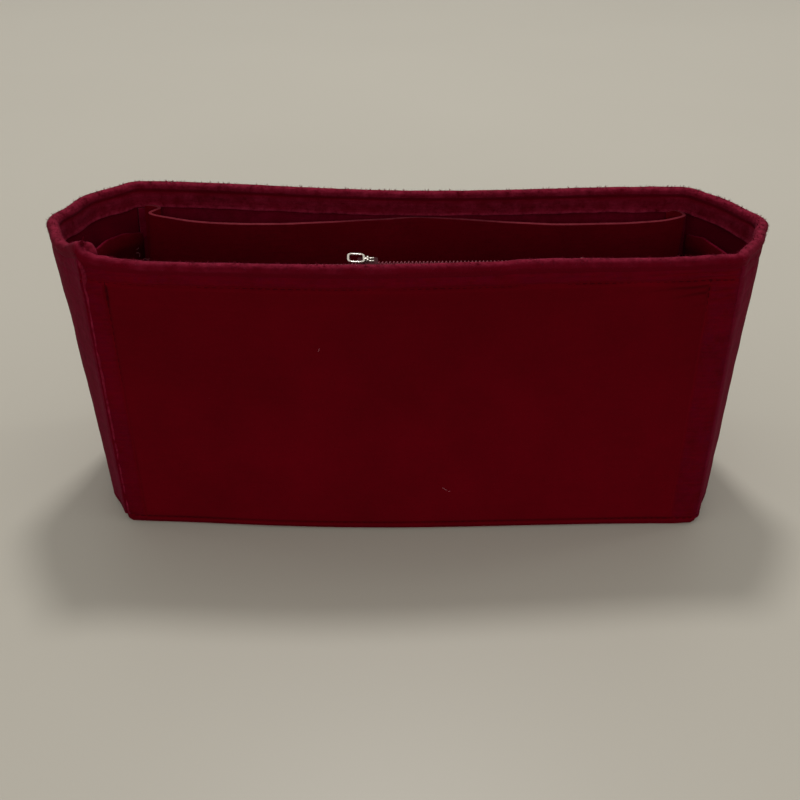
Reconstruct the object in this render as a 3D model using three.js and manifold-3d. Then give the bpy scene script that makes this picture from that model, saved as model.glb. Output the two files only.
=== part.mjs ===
// Bag organizer insert: an open felt tub that stands inside a handbag.
//
// Four sewn walls stand on a stiffened base. The ends are folded outward down
// their middles, the rim is bound with a folded strip, and inside there are a
// pleated back pocket, two end pockets and a zipped pocket on the front wall.
//
// Millimetres, +Z up, -Y is the front. Every felt piece is a layer of one
// shell: a station runs round the walls, a depth runs inward from the outer
// surface, and a height runs up from the floor.

import * as THREE from 'three';
import Module from 'manifold-3d';
import { mergeVertices } from 'three/addons/utils/BufferGeometryUtils.js';

// Driving dimensions: the shell in plan
const rimFrontLength = 272;
const rimBackLength = 268;
const rimDepthLeft = 102;
const rimDepthRight = 90;
const rimLeanLeft = 1.3;
const rimLeanForward = 2.3;
const rimFoldReachLeft = 32;
const rimFoldReachRight = 27;
const rimFoldBack = 5;
const baseLength = 262;
const baseDepth = 108;
const baseFoldReachLeft = 20;
const baseFoldReachRight = 16;

// Driving dimensions: corner roundings and bows, front left corner first
const cornerRadiusFrontLeft = 7;
const cornerRadiusFrontRight = 9;
const cornerRadiusBackRim = 12;
const cornerRadiusBackBase = 9;
const foldRadiusRim = 16;
const foldRadiusBase = 30;
const rimFrontBow = 6.3;
const rimBackBow = -5.9;
const rimEndBow = 1.6;
const rimBackLeftBow = 3.8;
const baseFrontBow = 1.8;
const baseEndBow = 2;
const frontBowPeakShare = 0.42;
const middleShare = 0.5;

// Driving dimensions: heights
const rimHeight = 127.6;
const foldDip = 1.5;
const frontSag = 1;
const backSag = 1.3;
const bottomRoll = 2;

// Felt, boards and the clearance between sewn layers
const clearance = 0.3;
const outerFelt = 2;
const wallBoard = 0.6;
const liningFelt = 1.2;
const pocketFelt = 1.5;
const tapeFelt = 0.6;
const bindingFelt = 0.9;
const baseBoard = 1.2;

// Rim binding: a folded strip over the top edge
const bindingProud = 0.4;
const bindingOuterDrop = 4.4;
const bindingInnerDrop = 12;
const bindingRound = 0.5;

// Stitched rectangle that holds the wall boards
const boardMarginLeft = 9;
const boardMarginRight = 15;
const boardMarginTop = 12.5;
const boardMarginBottom = 8;
const baseBoardMargin = 1.5;

// Pockets
const cornerTapeReach = 4;
const backPocketDrop = 12.8;
const backPocketInset = 5.5;
const pleatLength = 7.8;
const pleatRiseRim = 7.9;
const pleatRiseBase = 4.4;
const backPocketGapeLeft = 14.4;
const backPocketGapeRight = 12.2;
const backPocketSeamShare = 0.51;
const endPocketDrop = 20;
const endPocketInset = 6;
const endPocketGape = 7.5;
const zipPocketInsetLeft = 12;
const zipPocketInsetRight = 14;
const zipPocketTurn = 15;
const zipPocketBaseShare = 0.3;

// Zip: a coil chain that lies just behind the front rim
const zipEndInset = 38;
const zipWallSpace = 1.2;
const zipTapeOverrun = 5;
const zipDrop = 5.4;
const coilWidth = 2.5;
const coilHeight = 1.8;
const coilSlit = 1;
const tapeThickness = 0.5;
const tapeFrontLeg = 6;
const tapeRearLeg = 9;
const stopLength = 2;
const stopRise = 1.6;

// Slider and its pull tab
const sliderRestShare = 0.4;
const sliderLength = 8.6;
const sliderPlate = 0.9;
const sliderFlange = 0.8;
const sliderWeb = 0.4;
const sliderNoseRound = 1.6;
const sliderTailShare = 0.92;
const archLeg = 0.9;
const archSpan = 6.7;
const archWidth = 1.8;
const archBar = 0.8;
const archChamfer = 0.7;
const pinDiameter = 0.9;
const tabLength = 9.5;
const tabWidth = 7.6;
const tabRail = 1.5;
const tabEnd = 1.8;
const tabThickness = 1.2;
const tabHeel = 0.5;
const tabRestAngle = 8;

// Steps
const runStepCount = 10;
const endStepCount = 5;
const arcStepCount = 3;
const levelStepCount = 4;
const pinSideCount = 10;
const roundStepCount = 4;
const halvingCount = 30;
const cutOverrun = 1;

const wasm = await Module();
wasm.setup();

// Felt and metal finishes
function finish(color, roughness, metalness = 0) {
  return new THREE.MeshStandardMaterial({ color, roughness, metalness });
}
const feltOuter = finish(0x5c0a17, 0.95);
const feltLining = finish(0x4c0612, 0.95);
const feltPocket = finish(0x4a0410, 0.92);
const feltBinding = finish(0x6a1320, 0.96);
const board = finish(0x2b2624, 0.8);
const zipCloth = finish(0x4f0a18, 0.85);
const zipNylon = finish(0x6b1526, 0.5);
const metal = finish(0xb8b2ac, 0.28, 1);

// Corners of the outer surface in plan, front left first and anticlockwise
const rimMiddle = [-rimLeanLeft, -rimLeanForward];
const rimCorners = [
  [rimMiddle[0] - rimFrontLength / 2, rimMiddle[1] - rimDepthLeft / 2],
  [rimMiddle[0] + rimFrontLength / 2, rimMiddle[1] - rimDepthRight / 2],
  [rimMiddle[0] + (rimFrontLength + rimBackLength) / 4 + rimFoldReachRight, rimMiddle[1] + rimFoldBack],
  [rimMiddle[0] + rimBackLength / 2, rimMiddle[1] + rimDepthRight / 2],
  [rimMiddle[0] - rimBackLength / 2, rimMiddle[1] + rimDepthLeft / 2],
  [rimMiddle[0] - (rimFrontLength + rimBackLength) / 4 - rimFoldReachLeft, rimMiddle[1] + rimFoldBack],
];
const baseCorners = [
  [-baseLength / 2, -baseDepth / 2],
  [baseLength / 2, -baseDepth / 2],
  [baseLength / 2 + baseFoldReachRight, 0],
  [baseLength / 2, baseDepth / 2],
  [-baseLength / 2, baseDepth / 2],
  [-baseLength / 2 - baseFoldReachLeft, 0],
];
const rimRadii = [
  cornerRadiusFrontLeft, cornerRadiusFrontRight, foldRadiusRim,
  cornerRadiusBackRim, cornerRadiusBackRim, foldRadiusRim,
];
const baseRadii = [
  cornerRadiusFrontLeft, cornerRadiusFrontRight, foldRadiusBase,
  cornerRadiusBackBase, cornerRadiusBackBase, foldRadiusBase,
];
const rimBows = [rimFrontBow, rimEndBow, rimEndBow, rimBackBow, rimBackLeftBow, rimEndBow];
const baseBows = [baseFrontBow, baseEndBow, baseEndBow, 0, baseEndBow, baseEndBow];
const bowPeakShares = [
  frontBowPeakShare, middleShare, middleShare,
  middleShare, middleShare, middleShare,
];
const cornerDips = [0, 0, foldDip, 0, 0, foldDip];
const runSags = [frontSag, 0, 0, backSag, 0, 0];
const cornerCount = rimCorners.length;

// Names for the stations of the corners, numbered in their order
const [frontLeft, frontRight, , backRight, backLeft, leftFold] = rimCorners.keys();
const allRound = cornerCount;

const { lerp, degToRad } = THREE.MathUtils;

// One level of the shell in plan: its rounded corners and the runs between them
function makeLevel(share) {
  const corners = baseCorners.map((p, i) => new THREE.Vector2(
    lerp(p[0], rimCorners[i][0], share),
    lerp(p[1], rimCorners[i][1], share),
  ));
  const arcs = corners.map((corner, i) => {
    const before = corners[(i + cornerCount - 1) % cornerCount].clone().sub(corner).normalize();
    const after = corners[(i + 1) % cornerCount].clone().sub(corner).normalize();
    const half = Math.acos(before.dot(after)) / 2;
    const radius = lerp(baseRadii[i], rimRadii[i], share);
    const cut = radius / Math.tan(half);
    const inward = before.clone().add(after).normalize();
    const centre = corner.clone().addScaledVector(inward, radius / Math.sin(half));
    return {
      centre, radius,
      start: corner.clone().addScaledVector(before, cut),
      end: corner.clone().addScaledVector(after, cut),
      sweep: Math.PI - 2 * half,
    };
  });
  return { arcs, share };
}

const levelCache = new Map();
function levelAt(height) {
  const share = height / rimHeight;
  if (!levelCache.has(share)) levelCache.set(share, makeLevel(share));
  return levelCache.get(share);
}

function arcPoint(arc, turned) {
  const spoke = arc.start.clone().sub(arc.centre);
  return spoke.rotateAround(new THREE.Vector2(), turned).add(arc.centre);
}

function runOf(level, i) {
  const first = level.arcs[i];
  const last = level.arcs[(i + 1) % cornerCount];
  const straight = first.end.distanceTo(last.start);
  const head = first.radius * first.sweep / 2;
  const tail = last.radius * last.sweep / 2;
  return { first, last, straight, head, tail, total: head + straight + tail };
}

// Outer surface in plan at a station: whole numbers are corner middles
function outerPoint(station, height) {
  const level = levelAt(height);
  const turn = ((station % cornerCount) + cornerCount) % cornerCount;
  const i = Math.floor(turn);
  const run = runOf(level, i);
  const way = (turn - i) * run.total;
  if (way < run.head) return arcPoint(run.first, run.first.sweep / 2 + way / run.first.radius);
  if (way > run.head + run.straight) {
    return arcPoint(run.last, (way - run.head - run.straight) / run.last.radius);
  }
  const along = (way - run.head) / run.straight;
  const bow = lerp(baseBows[i], rimBows[i], level.share);
  const skew = Math.log(middleShare) / Math.log(bowPeakShares[i]);
  const out = bow * Math.sin(Math.PI * along ** skew) ** 2;
  const direction = run.last.start.clone().sub(run.first.end).normalize();
  const point = run.first.end.clone().lerp(run.last.start, along);
  return point.add(new THREE.Vector2(direction.y, -direction.x).multiplyScalar(out));
}

const probe = 1e-4;
function inwardAt(station, height) {
  const ahead = outerPoint(station + probe, height);
  const tangent = ahead.sub(outerPoint(station - probe, height)).normalize();
  return new THREE.Vector2(-tangent.y, tangent.x);
}

// How far the rim is below its corners at a station
function dipAt(station) {
  const turn = ((station % cornerCount) + cornerCount) % cornerCount;
  const i = Math.floor(turn);
  const along = turn - i;
  const ease = THREE.MathUtils.smoothstep(along, 0, 1);
  const corner = lerp(cornerDips[i], cornerDips[(i + 1) % cornerCount], ease);
  return corner + runSags[i] * Math.sin(Math.PI * along) ** 2;
}

// The walls roll inward where they meet the floor
function rollAt(height) {
  if (height >= bottomRoll) return 0;
  return bottomRoll - Math.sqrt(bottomRoll ** 2 - (bottomRoll - height) ** 2);
}

// Shell coordinates to a point in space
function shell(station, depth, height) {
  const outer = outerPoint(station, height);
  outer.addScaledVector(inwardAt(station, height), depth + rollAt(height));
  const z = height - dipAt(station) * (height / rimHeight) ** 2;
  return new THREE.Vector3(outer.x, outer.y, z);
}

// A station so many millimetres of rim after, or before, a corner
const rimLevel = levelAt(rimHeight);
const runLength = (i) => runOf(rimLevel, i).total;
const after = (corner, length) => corner + length / runLength(corner % cornerCount);
const before = (corner, length) => corner - length / runLength((corner + cornerCount - 1) % cornerCount);
const onward = (station, length) => station + length / runLength(Math.floor(station) % cornerCount);

// Shared stations, so that neighbouring layers have parallel faces
const gridStations = [];
for (let i = 0; i < cornerCount; i += 1) {
  const run = runOf(rimLevel, i);
  const steps = i === frontLeft || i === backRight ? runStepCount : endStepCount;
  const head = run.head / run.total;
  const tail = run.tail / run.total;
  for (let k = 0; k < arcStepCount; k += 1) gridStations.push(i + head * k / arcStepCount);
  for (let k = 0; k < steps; k += 1) gridStations.push(i + lerp(head, 1 - tail, k / steps));
  for (let k = 0; k < arcStepCount; k += 1) gridStations.push(i + 1 - tail * (1 - k / arcStepCount));
}
const stationStep = 2e-3;
function stationsBetween(from, to) {
  const inside = [];
  for (const turn of [-allRound, 0, allRound]) {
    inside.push(...gridStations.map((s) => s + turn));
  }
  const kept = inside.filter((s) => s > from + stationStep && s < to - stationStep);
  return [from, ...kept.sort((a, b) => a - b), to];
}

// Shared heights
const baseTop = outerFelt;
const boardTop = baseTop + clearance + baseBoard;
const floorTop = boardTop + clearance + liningFelt;
const innerFloor = floorTop + clearance;
const wallTop = rimHeight - bindingFelt - clearance;
const pressedFrom = rimHeight - bindingOuterDrop - clearance;
const rollShares = [0, 0.12, 0.3, 1];
const sharedHeights = rollShares.map((s) => s * bottomRoll);
for (let k = 1; k < levelStepCount; k += 1) {
  sharedHeights.push(lerp(baseTop, pressedFrom, k / levelStepCount));
}
const heightStep = clearance / 2;
function heightsBetween(low, high) {
  const kept = sharedHeights.filter((h) => h > low + heightStep && h < high - heightStep);
  return [low, ...kept.sort((a, b) => a - b), high];
}

// Depths of the sewn layers
const boardDepth = outerFelt + clearance;
const liningDepth = boardDepth + wallBoard + clearance;
const wallDepth = liningDepth + liningFelt;
const bindingDepth = wallDepth + clearance;
const bindingFace = bindingDepth + bindingFelt;
const pressedDepth = bindingFelt - bindingProud + clearance;

// Closed solid from vertex loops: the loops are skinned in turn and capped.
// Faces that meet across a gap are split the same way, so the gap stays even.
function skin(loops, capTriangles) {
  const count = loops[0].length;
  const points = loops.flat();
  const index = [];
  for (let r = 0; r + 1 < loops.length; r += 1) {
    for (let k = 0; k < count; k += 1) {
      const a = r * count + k;
      const b = r * count + (k + 1) % count;
      const falls = points[a].z - points[b].z > clearance;
      if (falls) index.push(a, b, a + count, b, b + count, a + count);
      else index.push(a, b, b + count, a, b + count, a + count);
    }
  }
  const last = (loops.length - 1) * count;
  for (const [a, b, c] of capTriangles) {
    index.push(a, c, b);
    index.push(last + a, last + b, last + c);
  }
  return closed(points, index);
}

function closed(points, index) {
  let volume = 0;
  for (let k = 0; k < index.length; k += 3) {
    const [a, b, c] = [points[index[k]], points[index[k + 1]], points[index[k + 2]]];
    volume += a.dot(b.clone().cross(c));
  }
  if (volume < 0) index.reverse();
  const geometry = new THREE.BufferGeometry();
  geometry.setAttribute('position', new THREE.Float32BufferAttribute(points.flatMap((p) => p.toArray()), 3));
  geometry.setIndex(index);
  geometry.computeVertexNormals();
  return geometry;
}

const root = new THREE.Group();
function add(name, geometry, material, parent = root) {
  const mesh = new THREE.Mesh(geometry, material);
  mesh.name = name;
  parent.add(mesh);
  return mesh;
}

// Triangles that fill a section, turned the way its points run
const capBend = 1e-4;
function capOf(section) {
  const flat = section.map(([x, y]) => new THREE.Vector2(x + capBend * y * y, y));
  const triangles = THREE.ShapeUtils.triangulateShape(flat, []);
  return THREE.ShapeUtils.isClockWise(flat) ? triangles.map((t) => t.toReversed()) : triangles;
}

// A section in depth and height, swept between two stations
function sweep(section, from, to) {
  const stations = stationsBetween(from, to);
  const loops = stations.map((s) => section.map(([depth, height]) => shell(s, depth, height)));
  return skin(loops, capOf(section));
}

// Section of a plain layer between two depths
function layerSection(near, far, low, high) {
  const heights = heightsBetween(low, high);
  const up = heights.map((h) => [near, h]);
  const down = heights.toReversed().map((h) => [far, h]);
  return [...up, ...down];
}

// Section of an outer wall, pressed thin under the binding
function outerSection() {
  const heights = heightsBetween(baseTop + clearance, pressedFrom);
  const up = heights.map((h) => [0, h]);
  const down = heights.toReversed().map((h) => [outerFelt, h]);
  return [...up, [pressedDepth, pressedFrom], [pressedDepth, wallTop], [outerFelt, wallTop], ...down];
}

// Walls: outer felt, board and lining
const seam = clearance / 2;
function buildWalls() {
  const outer = outerSection();
  const lining = layerSection(liningDepth, wallDepth, innerFloor, wallTop);
  const endLining = layerSection(boardDepth, wallDepth, innerFloor, wallTop);
  const walls = [
    ['front', frontLeft, frontRight],
    ['back', backRight, backLeft],
  ];
  for (const [side, from, to] of walls) {
    add(`${side}_panel`, sweep(outer, after(from, seam), before(to, seam)), feltOuter);
    add(`${side}_lining`, sweep(lining, after(from, seam), before(to, seam)), feltLining);
  }
  const ends = [
    ['right', frontRight, backRight],
    ['left', backLeft, allRound],
  ];
  for (const [side, from, to] of ends) {
    add(`${side}_gusset`, sweep(outer, after(from, seam), before(to, seam)), feltOuter);
    add(`${side}_end_lining`, sweep(endLining, after(from, seam), before(to, seam)), feltLining);
  }
  const boardSection = layerSection(
    boardDepth, boardDepth + wallBoard, boardMarginBottom, rimHeight - boardMarginTop,
  );
  const frontFrom = after(frontLeft, boardMarginLeft);
  const frontTo = before(frontRight, boardMarginRight);
  add('front_stiffener', sweep(boardSection, frontFrom, frontTo), board);
  const backFrom = after(backRight, boardMarginRight);
  const backTo = before(backLeft, boardMarginLeft);
  add('back_stiffener', sweep(boardSection, backFrom, backTo), board);
}

// A level plate of the shell's outline, filled in strips from fold to fold
function plate(depth, low, high) {
  const stations = stationsBetween(leftFold - allRound, leftFold).slice(0, -1);
  const loops = heightsBetween(low, high).map((h) => stations.map((s) => shell(s, depth, h)));
  const count = stations.length;
  const caps = [[0, 1, count - 1]];
  for (let k = 1; k < count / 2 - 1; k += 1) {
    caps.push([k, k + 1, count - k - 1], [k, count - k - 1, count - k]);
  }
  caps.push([count / 2 - 1, count / 2, count / 2 + 1]);
  return skin(loops, caps);
}

// Base: the outer felt carries the walls, the board and the lining lie inside them
function buildBase() {
  add('base_panel', plate(0, 0, baseTop), feltOuter);
  add('base_stiffener', plate(boardDepth + baseBoardMargin, baseTop + clearance, boardTop), board);
  add('base_lining', plate(boardDepth, boardTop + clearance, floorTop), feltLining);
}

// Rim binding: one folded strip, its ends meet at the front left corner
function buildBinding() {
  const out = -bindingProud;
  const top = rimHeight;
  const under = rimHeight - bindingFelt;
  const section = [
    [out, top - bindingOuterDrop],
    [out, top - 2 * bindingRound],
    [out + bindingRound / 2, top - bindingRound / 2],
    [out + 2 * bindingRound, top],
    [bindingFace - 2 * bindingRound, top],
    [bindingFace - bindingRound / 2, top - bindingRound / 2],
    [bindingFace, top - 2 * bindingRound],
    [bindingFace, top - bindingInnerDrop],
    [bindingDepth, top - bindingInnerDrop],
    [bindingDepth, under],
    [out + bindingFelt, under],
    [out + bindingFelt, top - bindingOuterDrop],
  ];
  const from = after(frontLeft, seam);
  add('rim_binding', sweep(section, from, before(allRound, seam)), feltBinding);
}

// Tapes over the inner corner seams
function buildCornerTapes() {
  const section = layerSection(
    bindingDepth, bindingDepth + tapeFelt, innerFloor, rimHeight - bindingInnerDrop - clearance,
  );
  const corners = [
    ['front_left', allRound],
    ['front_right', frontRight],
    ['back_right', backRight],
    ['back_left', backLeft],
  ];
  for (const [place, corner] of corners) {
    const from = before(corner, cornerTapeReach);
    const to = after(corner, cornerTapeReach);
    add(`corner_tape_${place}`, sweep(section, from, to), feltLining);
  }
}

// A standing sheet of felt: its middle line in plan at each height, thickened
function standingSheet(planAt, heights, thickness) {
  const half = thickness / 2;
  const loops = heights.map((height) => {
    const line = planAt(height);
    const normals = line.map((p, i) => {
      const back = line[Math.max(i - 1, 0)];
      const ahead = line[Math.min(i + 1, line.length - 1)];
      const into = i > 0 ? p.clone().sub(back).setZ(0).normalize() : null;
      const away = i < line.length - 1 ? ahead.clone().sub(p).setZ(0).normalize() : null;
      const tangent = (into ?? away).clone().add(away ?? into).normalize();
      const stretch = 1 / Math.max(tangent.dot(into ?? away), middleShare);
      return new THREE.Vector3(-tangent.y, tangent.x, 0).multiplyScalar(stretch);
    });
    const near = line.map((p, i) => p.clone().addScaledVector(normals[i], half));
    const far = line.map((p, i) => p.clone().addScaledVector(normals[i], -half));
    return [...near, ...far.reverse()];
  });
  const count = loops[0].length;
  const caps = [];
  for (let k = 0; k + 1 < count / 2; k += 1) {
    const across = count - 1 - k;
    caps.push([k, k + 1, across - 1], [k, across - 1, across]);
  }
  return skin(loops, caps);
}

// Back pocket: a pleat at each end, gaping halves and a seam in the middle
const pleatShares = [
  [0, 0, 0], [0.45, 0, 0], [0.8, 0.02, 0.03], [1, 0.115, 0.21], [0.78, 0.225, 0.42],
  [0.5, 0.24, 0.45], [0.3, 0.34, 0.56], [0.24, 0.56, 0.72], [0.3, 0.8, 0.88], [0.5, 0.97, 1],
];
const gapeShares = [
  [0.1, 0.66, 1], [0.16, 0.83, 0.75], [0.26, 0.98, 0.3], [0.41, 1, 0.08],
  [0.56, 0.8, 0], [0.71, 0.5, 0], [0.86, 0.21, 0], [1, 0, 0],
];
function backPocketHalf(length, reach, height) {
  const share = height / rimHeight;
  const pleat = pleatShares.map(([along, rim, base]) => [
    backPocketInset + along * pleatLength,
    lerp(base * pleatRiseBase, rim * pleatRiseRim, share),
  ]);
  const gape = gapeShares.map(([along, rim, base]) => [
    along * length,
    lerp(base * pleatRiseBase, rim * reach, share),
  ]);
  return [...pleat, ...gape];
}

function buildBackPocket() {
  const whole = runLength(backRight);
  const leftHalf = whole * backPocketSeamShare;
  const lying = bindingDepth + pocketFelt / 2;
  const planAt = (height) => {
    const left = backPocketHalf(leftHalf, backPocketGapeLeft, height);
    const half = backPocketHalf(whole - leftHalf, backPocketGapeRight, height);
    const right = half.map(([along, up]) => [whole - along, up]);
    const rows = [...left, ...right.reverse().slice(1)];
    return rows.map(([along, up]) => shell(before(backLeft, along), lying + up, height));
  };
  const heights = heightsBetween(innerFloor, rimHeight - backPocketDrop);
  add('back_pocket', standingSheet(planAt, heights, pocketFelt), feltPocket);
}

// End pockets: each follows its gusset and gapes at the fold
function buildEndPockets() {
  const ends = [
    ['right_end_pocket', frontRight, backRight],
    ['left_end_pocket', backLeft, allRound],
  ];
  const lying = bindingDepth + pocketFelt / 2;
  const heights = heightsBetween(innerFloor, rimHeight - endPocketDrop);
  for (const [name, first, last] of ends) {
    const from = after(first, endPocketInset);
    const to = before(last, endPocketInset);
    const planAt = (height) => stationsBetween(from, to).map((s) => {
      const along = (s - from) / (to - from);
      const gape = endPocketGape * Math.sin(Math.PI * along) * height / rimHeight;
      return shell(s, lying + gape, height);
    });
    add(name, standingSheet(planAt, heights, pocketFelt), feltPocket);
  }
}

// The zip line: u runs along it, v across it towards the back, w up
const coilTop = rimHeight - zipDrop;
const coilBottom = coilTop - coilHeight;
const tapeTop = coilBottom - clearance;
const tapeBottom = tapeTop - tapeThickness;
const tapeFoot = tapeTop - tapeRearLeg;
const coilInner = coilSlit / 2;
const coilOuter = coilInner + coilWidth;
const sliderHalf = coilOuter + clearance + sliderFlange;
const tapeBend = sliderHalf + 2 * clearance;
const zipPanelLine = tapeBend + tapeThickness + clearance + liningFelt / 2;
const zipSetBack = bindingFace + zipWallSpace + sliderHalf;
const zipStart = shell(after(frontLeft, zipEndInset), zipSetBack, coilTop).setZ(0);
const zipFinish = shell(before(frontRight, zipEndInset), zipSetBack, coilTop).setZ(0);
const zipLength = zipStart.distanceTo(zipFinish);
const zipMiddle = zipStart.clone().lerp(zipFinish, middleShare);
const zipDirection = zipFinish.clone().sub(zipStart).normalize();
const zipAcross = new THREE.Vector3(-zipDirection.y, zipDirection.x, 0);
function zipPoint(u, v, w) {
  return zipMiddle.clone().addScaledVector(zipDirection, u).addScaledVector(zipAcross, v).setZ(w);
}
function alongZip(point) {
  return point.clone().sub(zipMiddle).dot(zipDirection);
}

// A section across the zip line, pulled straight along it
function zipBar(section, from, to) {
  const loops = [from, to].map((u) => section.map(([v, w]) => zipPoint(u, v, w)));
  return skin(loops, capOf(section));
}

const turnShares = [0, 0.35, 0.65];
function buildZipPocketPanel() {
  const from = after(frontLeft, zipPocketInsetLeft);
  const to = before(frontRight, zipPocketInsetRight);
  const lying = bindingDepth + liningFelt / 2;
  const whole = (to - from) * runLength(frontLeft);
  const leave = turnShares.map((share) => onward(from, share * zipPocketTurn));
  const arrive = turnShares.map((share) => onward(to, -share * zipPocketTurn)).reverse();
  const between = stationsBetween(onward(from, zipPocketTurn), onward(to, -zipPocketTurn));
  const stations = [...leave, ...between, ...arrive];
  const planAt = (height) => stations.map((s) => {
    const along = (s - from) / (to - from) * whole;
    const end = Math.min(along, whole - along);
    const stand = THREE.MathUtils.smoothstep(end, 0, zipPocketTurn);
    const wall = shell(s, lying, height);
    const line = zipPoint(alongZip(wall), zipPanelLine, wall.z);
    const share = lerp(zipPocketBaseShare, 1, Math.min(height / tapeFoot, 1));
    return wall.lerp(line, stand * share);
  });
  const top = rimHeight - bindingInnerDrop - clearance;
  const heights = [...heightsBetween(innerFloor, tapeFoot - clearance), top];
  add('zip_pocket_panel', standingSheet(planAt, heights, liningFelt), feltPocket);
}

function buildZipTapes() {
  const end = zipLength / 2 + zipTapeOverrun;
  const rear = [
    [coilInner, tapeTop], [tapeBend + tapeThickness, tapeTop],
    [tapeBend + tapeThickness, tapeFoot], [tapeBend, tapeFoot],
    [tapeBend, tapeBottom], [coilInner, tapeBottom],
  ];
  add('zip_tape_rear', zipBar(rear, -end, end), zipCloth);

  // The front tape reaches the binding and turns down against it
  const near = bindingFace + clearance;
  const far = near + tapeThickness;
  const stationAt = (u) => {
    const range = [frontLeft, frontRight];
    for (let k = 0; k < halvingCount; k += 1) {
      const half = (range[0] + range[1]) / 2;
      range[alongZip(shell(half, near, tapeTop)) < u ? 0 : 1] = half;
    }
    return range[0];
  };
  const loops = stationsBetween(stationAt(-end), stationAt(end)).map((s) => {
    const high = shell(s, near, tapeTop).setZ(tapeTop);
    const edge = alongZip(high);
    return [
      high,
      zipPoint(edge, -coilInner, tapeTop),
      zipPoint(edge, -coilInner, tapeBottom),
      shell(s, far, tapeTop).setZ(tapeBottom),
      shell(s, far, tapeTop).setZ(tapeTop - tapeFrontLeg),
      shell(s, near, tapeTop).setZ(tapeTop - tapeFrontLeg),
    ];
  });
  const cap = [[0, 1, 2], [0, 2, 3], [0, 3, 5], [3, 4, 5]];
  add('zip_tape_front', skin(loops, cap), zipCloth);
}

function buildCoils() {
  const end = zipLength / 2;
  const flank = coilHeight / 4;
  for (const [name, side] of [['zip_coil_front', -1], ['zip_coil_rear', 1]]) {
    const section = [
      [side * coilInner, coilBottom + flank], [side * coilInner, coilTop - flank],
      [side * (coilInner + flank), coilTop], [side * (coilOuter - flank), coilTop],
      [side * coilOuter, coilTop - flank], [side * coilOuter, coilBottom + flank],
      [side * (coilOuter - flank), coilBottom], [side * (coilInner + flank), coilBottom],
    ];
    add(name, zipBar(section, -end, end), zipNylon);
  }
  const stop = [
    [-coilOuter, coilBottom], [-coilOuter, coilBottom + stopRise / 2], [-coilInner, coilBottom + stopRise],
    [coilInner, coilBottom + stopRise], [coilOuter, coilBottom + stopRise / 2], [coilOuter, coilBottom],
  ];
  const near = end + clearance;
  add('zip_stop_left', zipBar(stop, -near - stopLength, -near), metal);
  add('zip_stop_right', zipBar(stop, near, near + stopLength), metal);
}

// Solid joins and cuts
function toSolid(geometry) {
  const bare = geometry.clone();
  bare.deleteAttribute('normal');
  bare.deleteAttribute('uv');
  const merged = mergeVertices(bare);
  const vertProperties = new Float32Array(merged.attributes.position.array);
  const triVerts = new Uint32Array(merged.index.array);
  return new wasm.Manifold(new wasm.Mesh({ numProp: 3, vertProperties, triVerts }));
}

function toGeometry(solid) {
  const mesh = solid.getMesh();
  const geometry = new THREE.BufferGeometry();
  geometry.setAttribute('position', new THREE.Float32BufferAttribute(mesh.vertProperties, 3));
  geometry.setIndex(Array.from(mesh.triVerts));
  geometry.computeVertexNormals();
  return geometry;
}

const shapeOf = (points) => new THREE.Shape(points.map(([x, y]) => new THREE.Vector2(x, y)));
function thickened(shape, depth) {
  const options = { depth, bevelEnabled: false, curveSegments: roundStepCount };
  return new THREE.ExtrudeGeometry(shape, options);
}

// Slider, in its own axes: x along the zip, y across it, z up from the coil top
const plateLow = clearance;
const plateHigh = plateLow + sliderPlate;
const pinHeight = plateHigh + clearance + tabThickness / 2;
const archUnder = pinHeight + pinDiameter / 2 + clearance;
const archTop = archUnder + archBar;
function sliderGeometry() {
  const flangeFoot = tapeTop + clearance - coilTop;
  const soleTop = tapeBottom - clearance - coilTop;
  const soleLow = soleTop - sliderPlate;
  const inner = coilOuter + clearance;
  const web = sliderWeb / 2;
  const right = [
    [web, soleTop], [sliderHalf, soleTop], [sliderHalf, soleLow],
  ];
  const left = right.map(([v, w]) => [-v, w]).reverse();
  const upper = [
    [-web, plateLow], [-inner, plateLow], [-inner, flangeFoot], [-sliderHalf, flangeFoot],
    [-sliderHalf, plateHigh], [sliderHalf, plateHigh], [sliderHalf, flangeFoot],
    [inner, flangeFoot], [inner, plateLow], [web, plateLow],
  ];
  const profile = thickened(shapeOf([...upper, ...right, ...left]), sliderLength);
  profile.translate(0, 0, -sliderLength / 2);
  profile.rotateX(Math.PI / 2);
  profile.rotateZ(Math.PI / 2);

  // Plan: a rounded nose, narrower at the tail
  const nose = sliderLength / 2;
  const tail = sliderHalf * sliderTailShare;
  const round = sliderNoseRound;
  const plan = new THREE.Shape();
  plan.moveTo(-nose, -tail);
  plan.lineTo(nose - round, -sliderHalf);
  plan.quadraticCurveTo(nose, -sliderHalf, nose, -sliderHalf + round);
  plan.lineTo(nose, sliderHalf - round);
  plan.quadraticCurveTo(nose, sliderHalf, nose - round, sliderHalf);
  plan.lineTo(-nose, tail);
  const tall = archTop - soleLow + 2 * cutOverrun;
  const cutter = thickened(plan, tall);
  cutter.translate(0, 0, soleLow - cutOverrun);

  // Arch that holds the pull tab's pin
  const reach = archSpan / 2;
  const arch = shapeOf([
    [-reach, plateLow + sliderPlate / 2], [-reach, archTop - archChamfer], [-reach + archChamfer, archTop],
    [reach - archChamfer, archTop], [reach, archTop - archChamfer], [reach, plateLow + sliderPlate / 2],
    [reach - archLeg, plateLow + sliderPlate / 2], [reach - archLeg, archUnder],
    [-reach + archLeg, archUnder], [-reach + archLeg, plateLow + sliderPlate / 2],
  ]);
  const bridge = thickened(arch, archWidth);
  bridge.rotateX(Math.PI / 2);
  bridge.translate(0, archWidth / 2, 0);
  return toGeometry(toSolid(profile).intersect(toSolid(cutter)).add(toSolid(bridge)));
}

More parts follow.
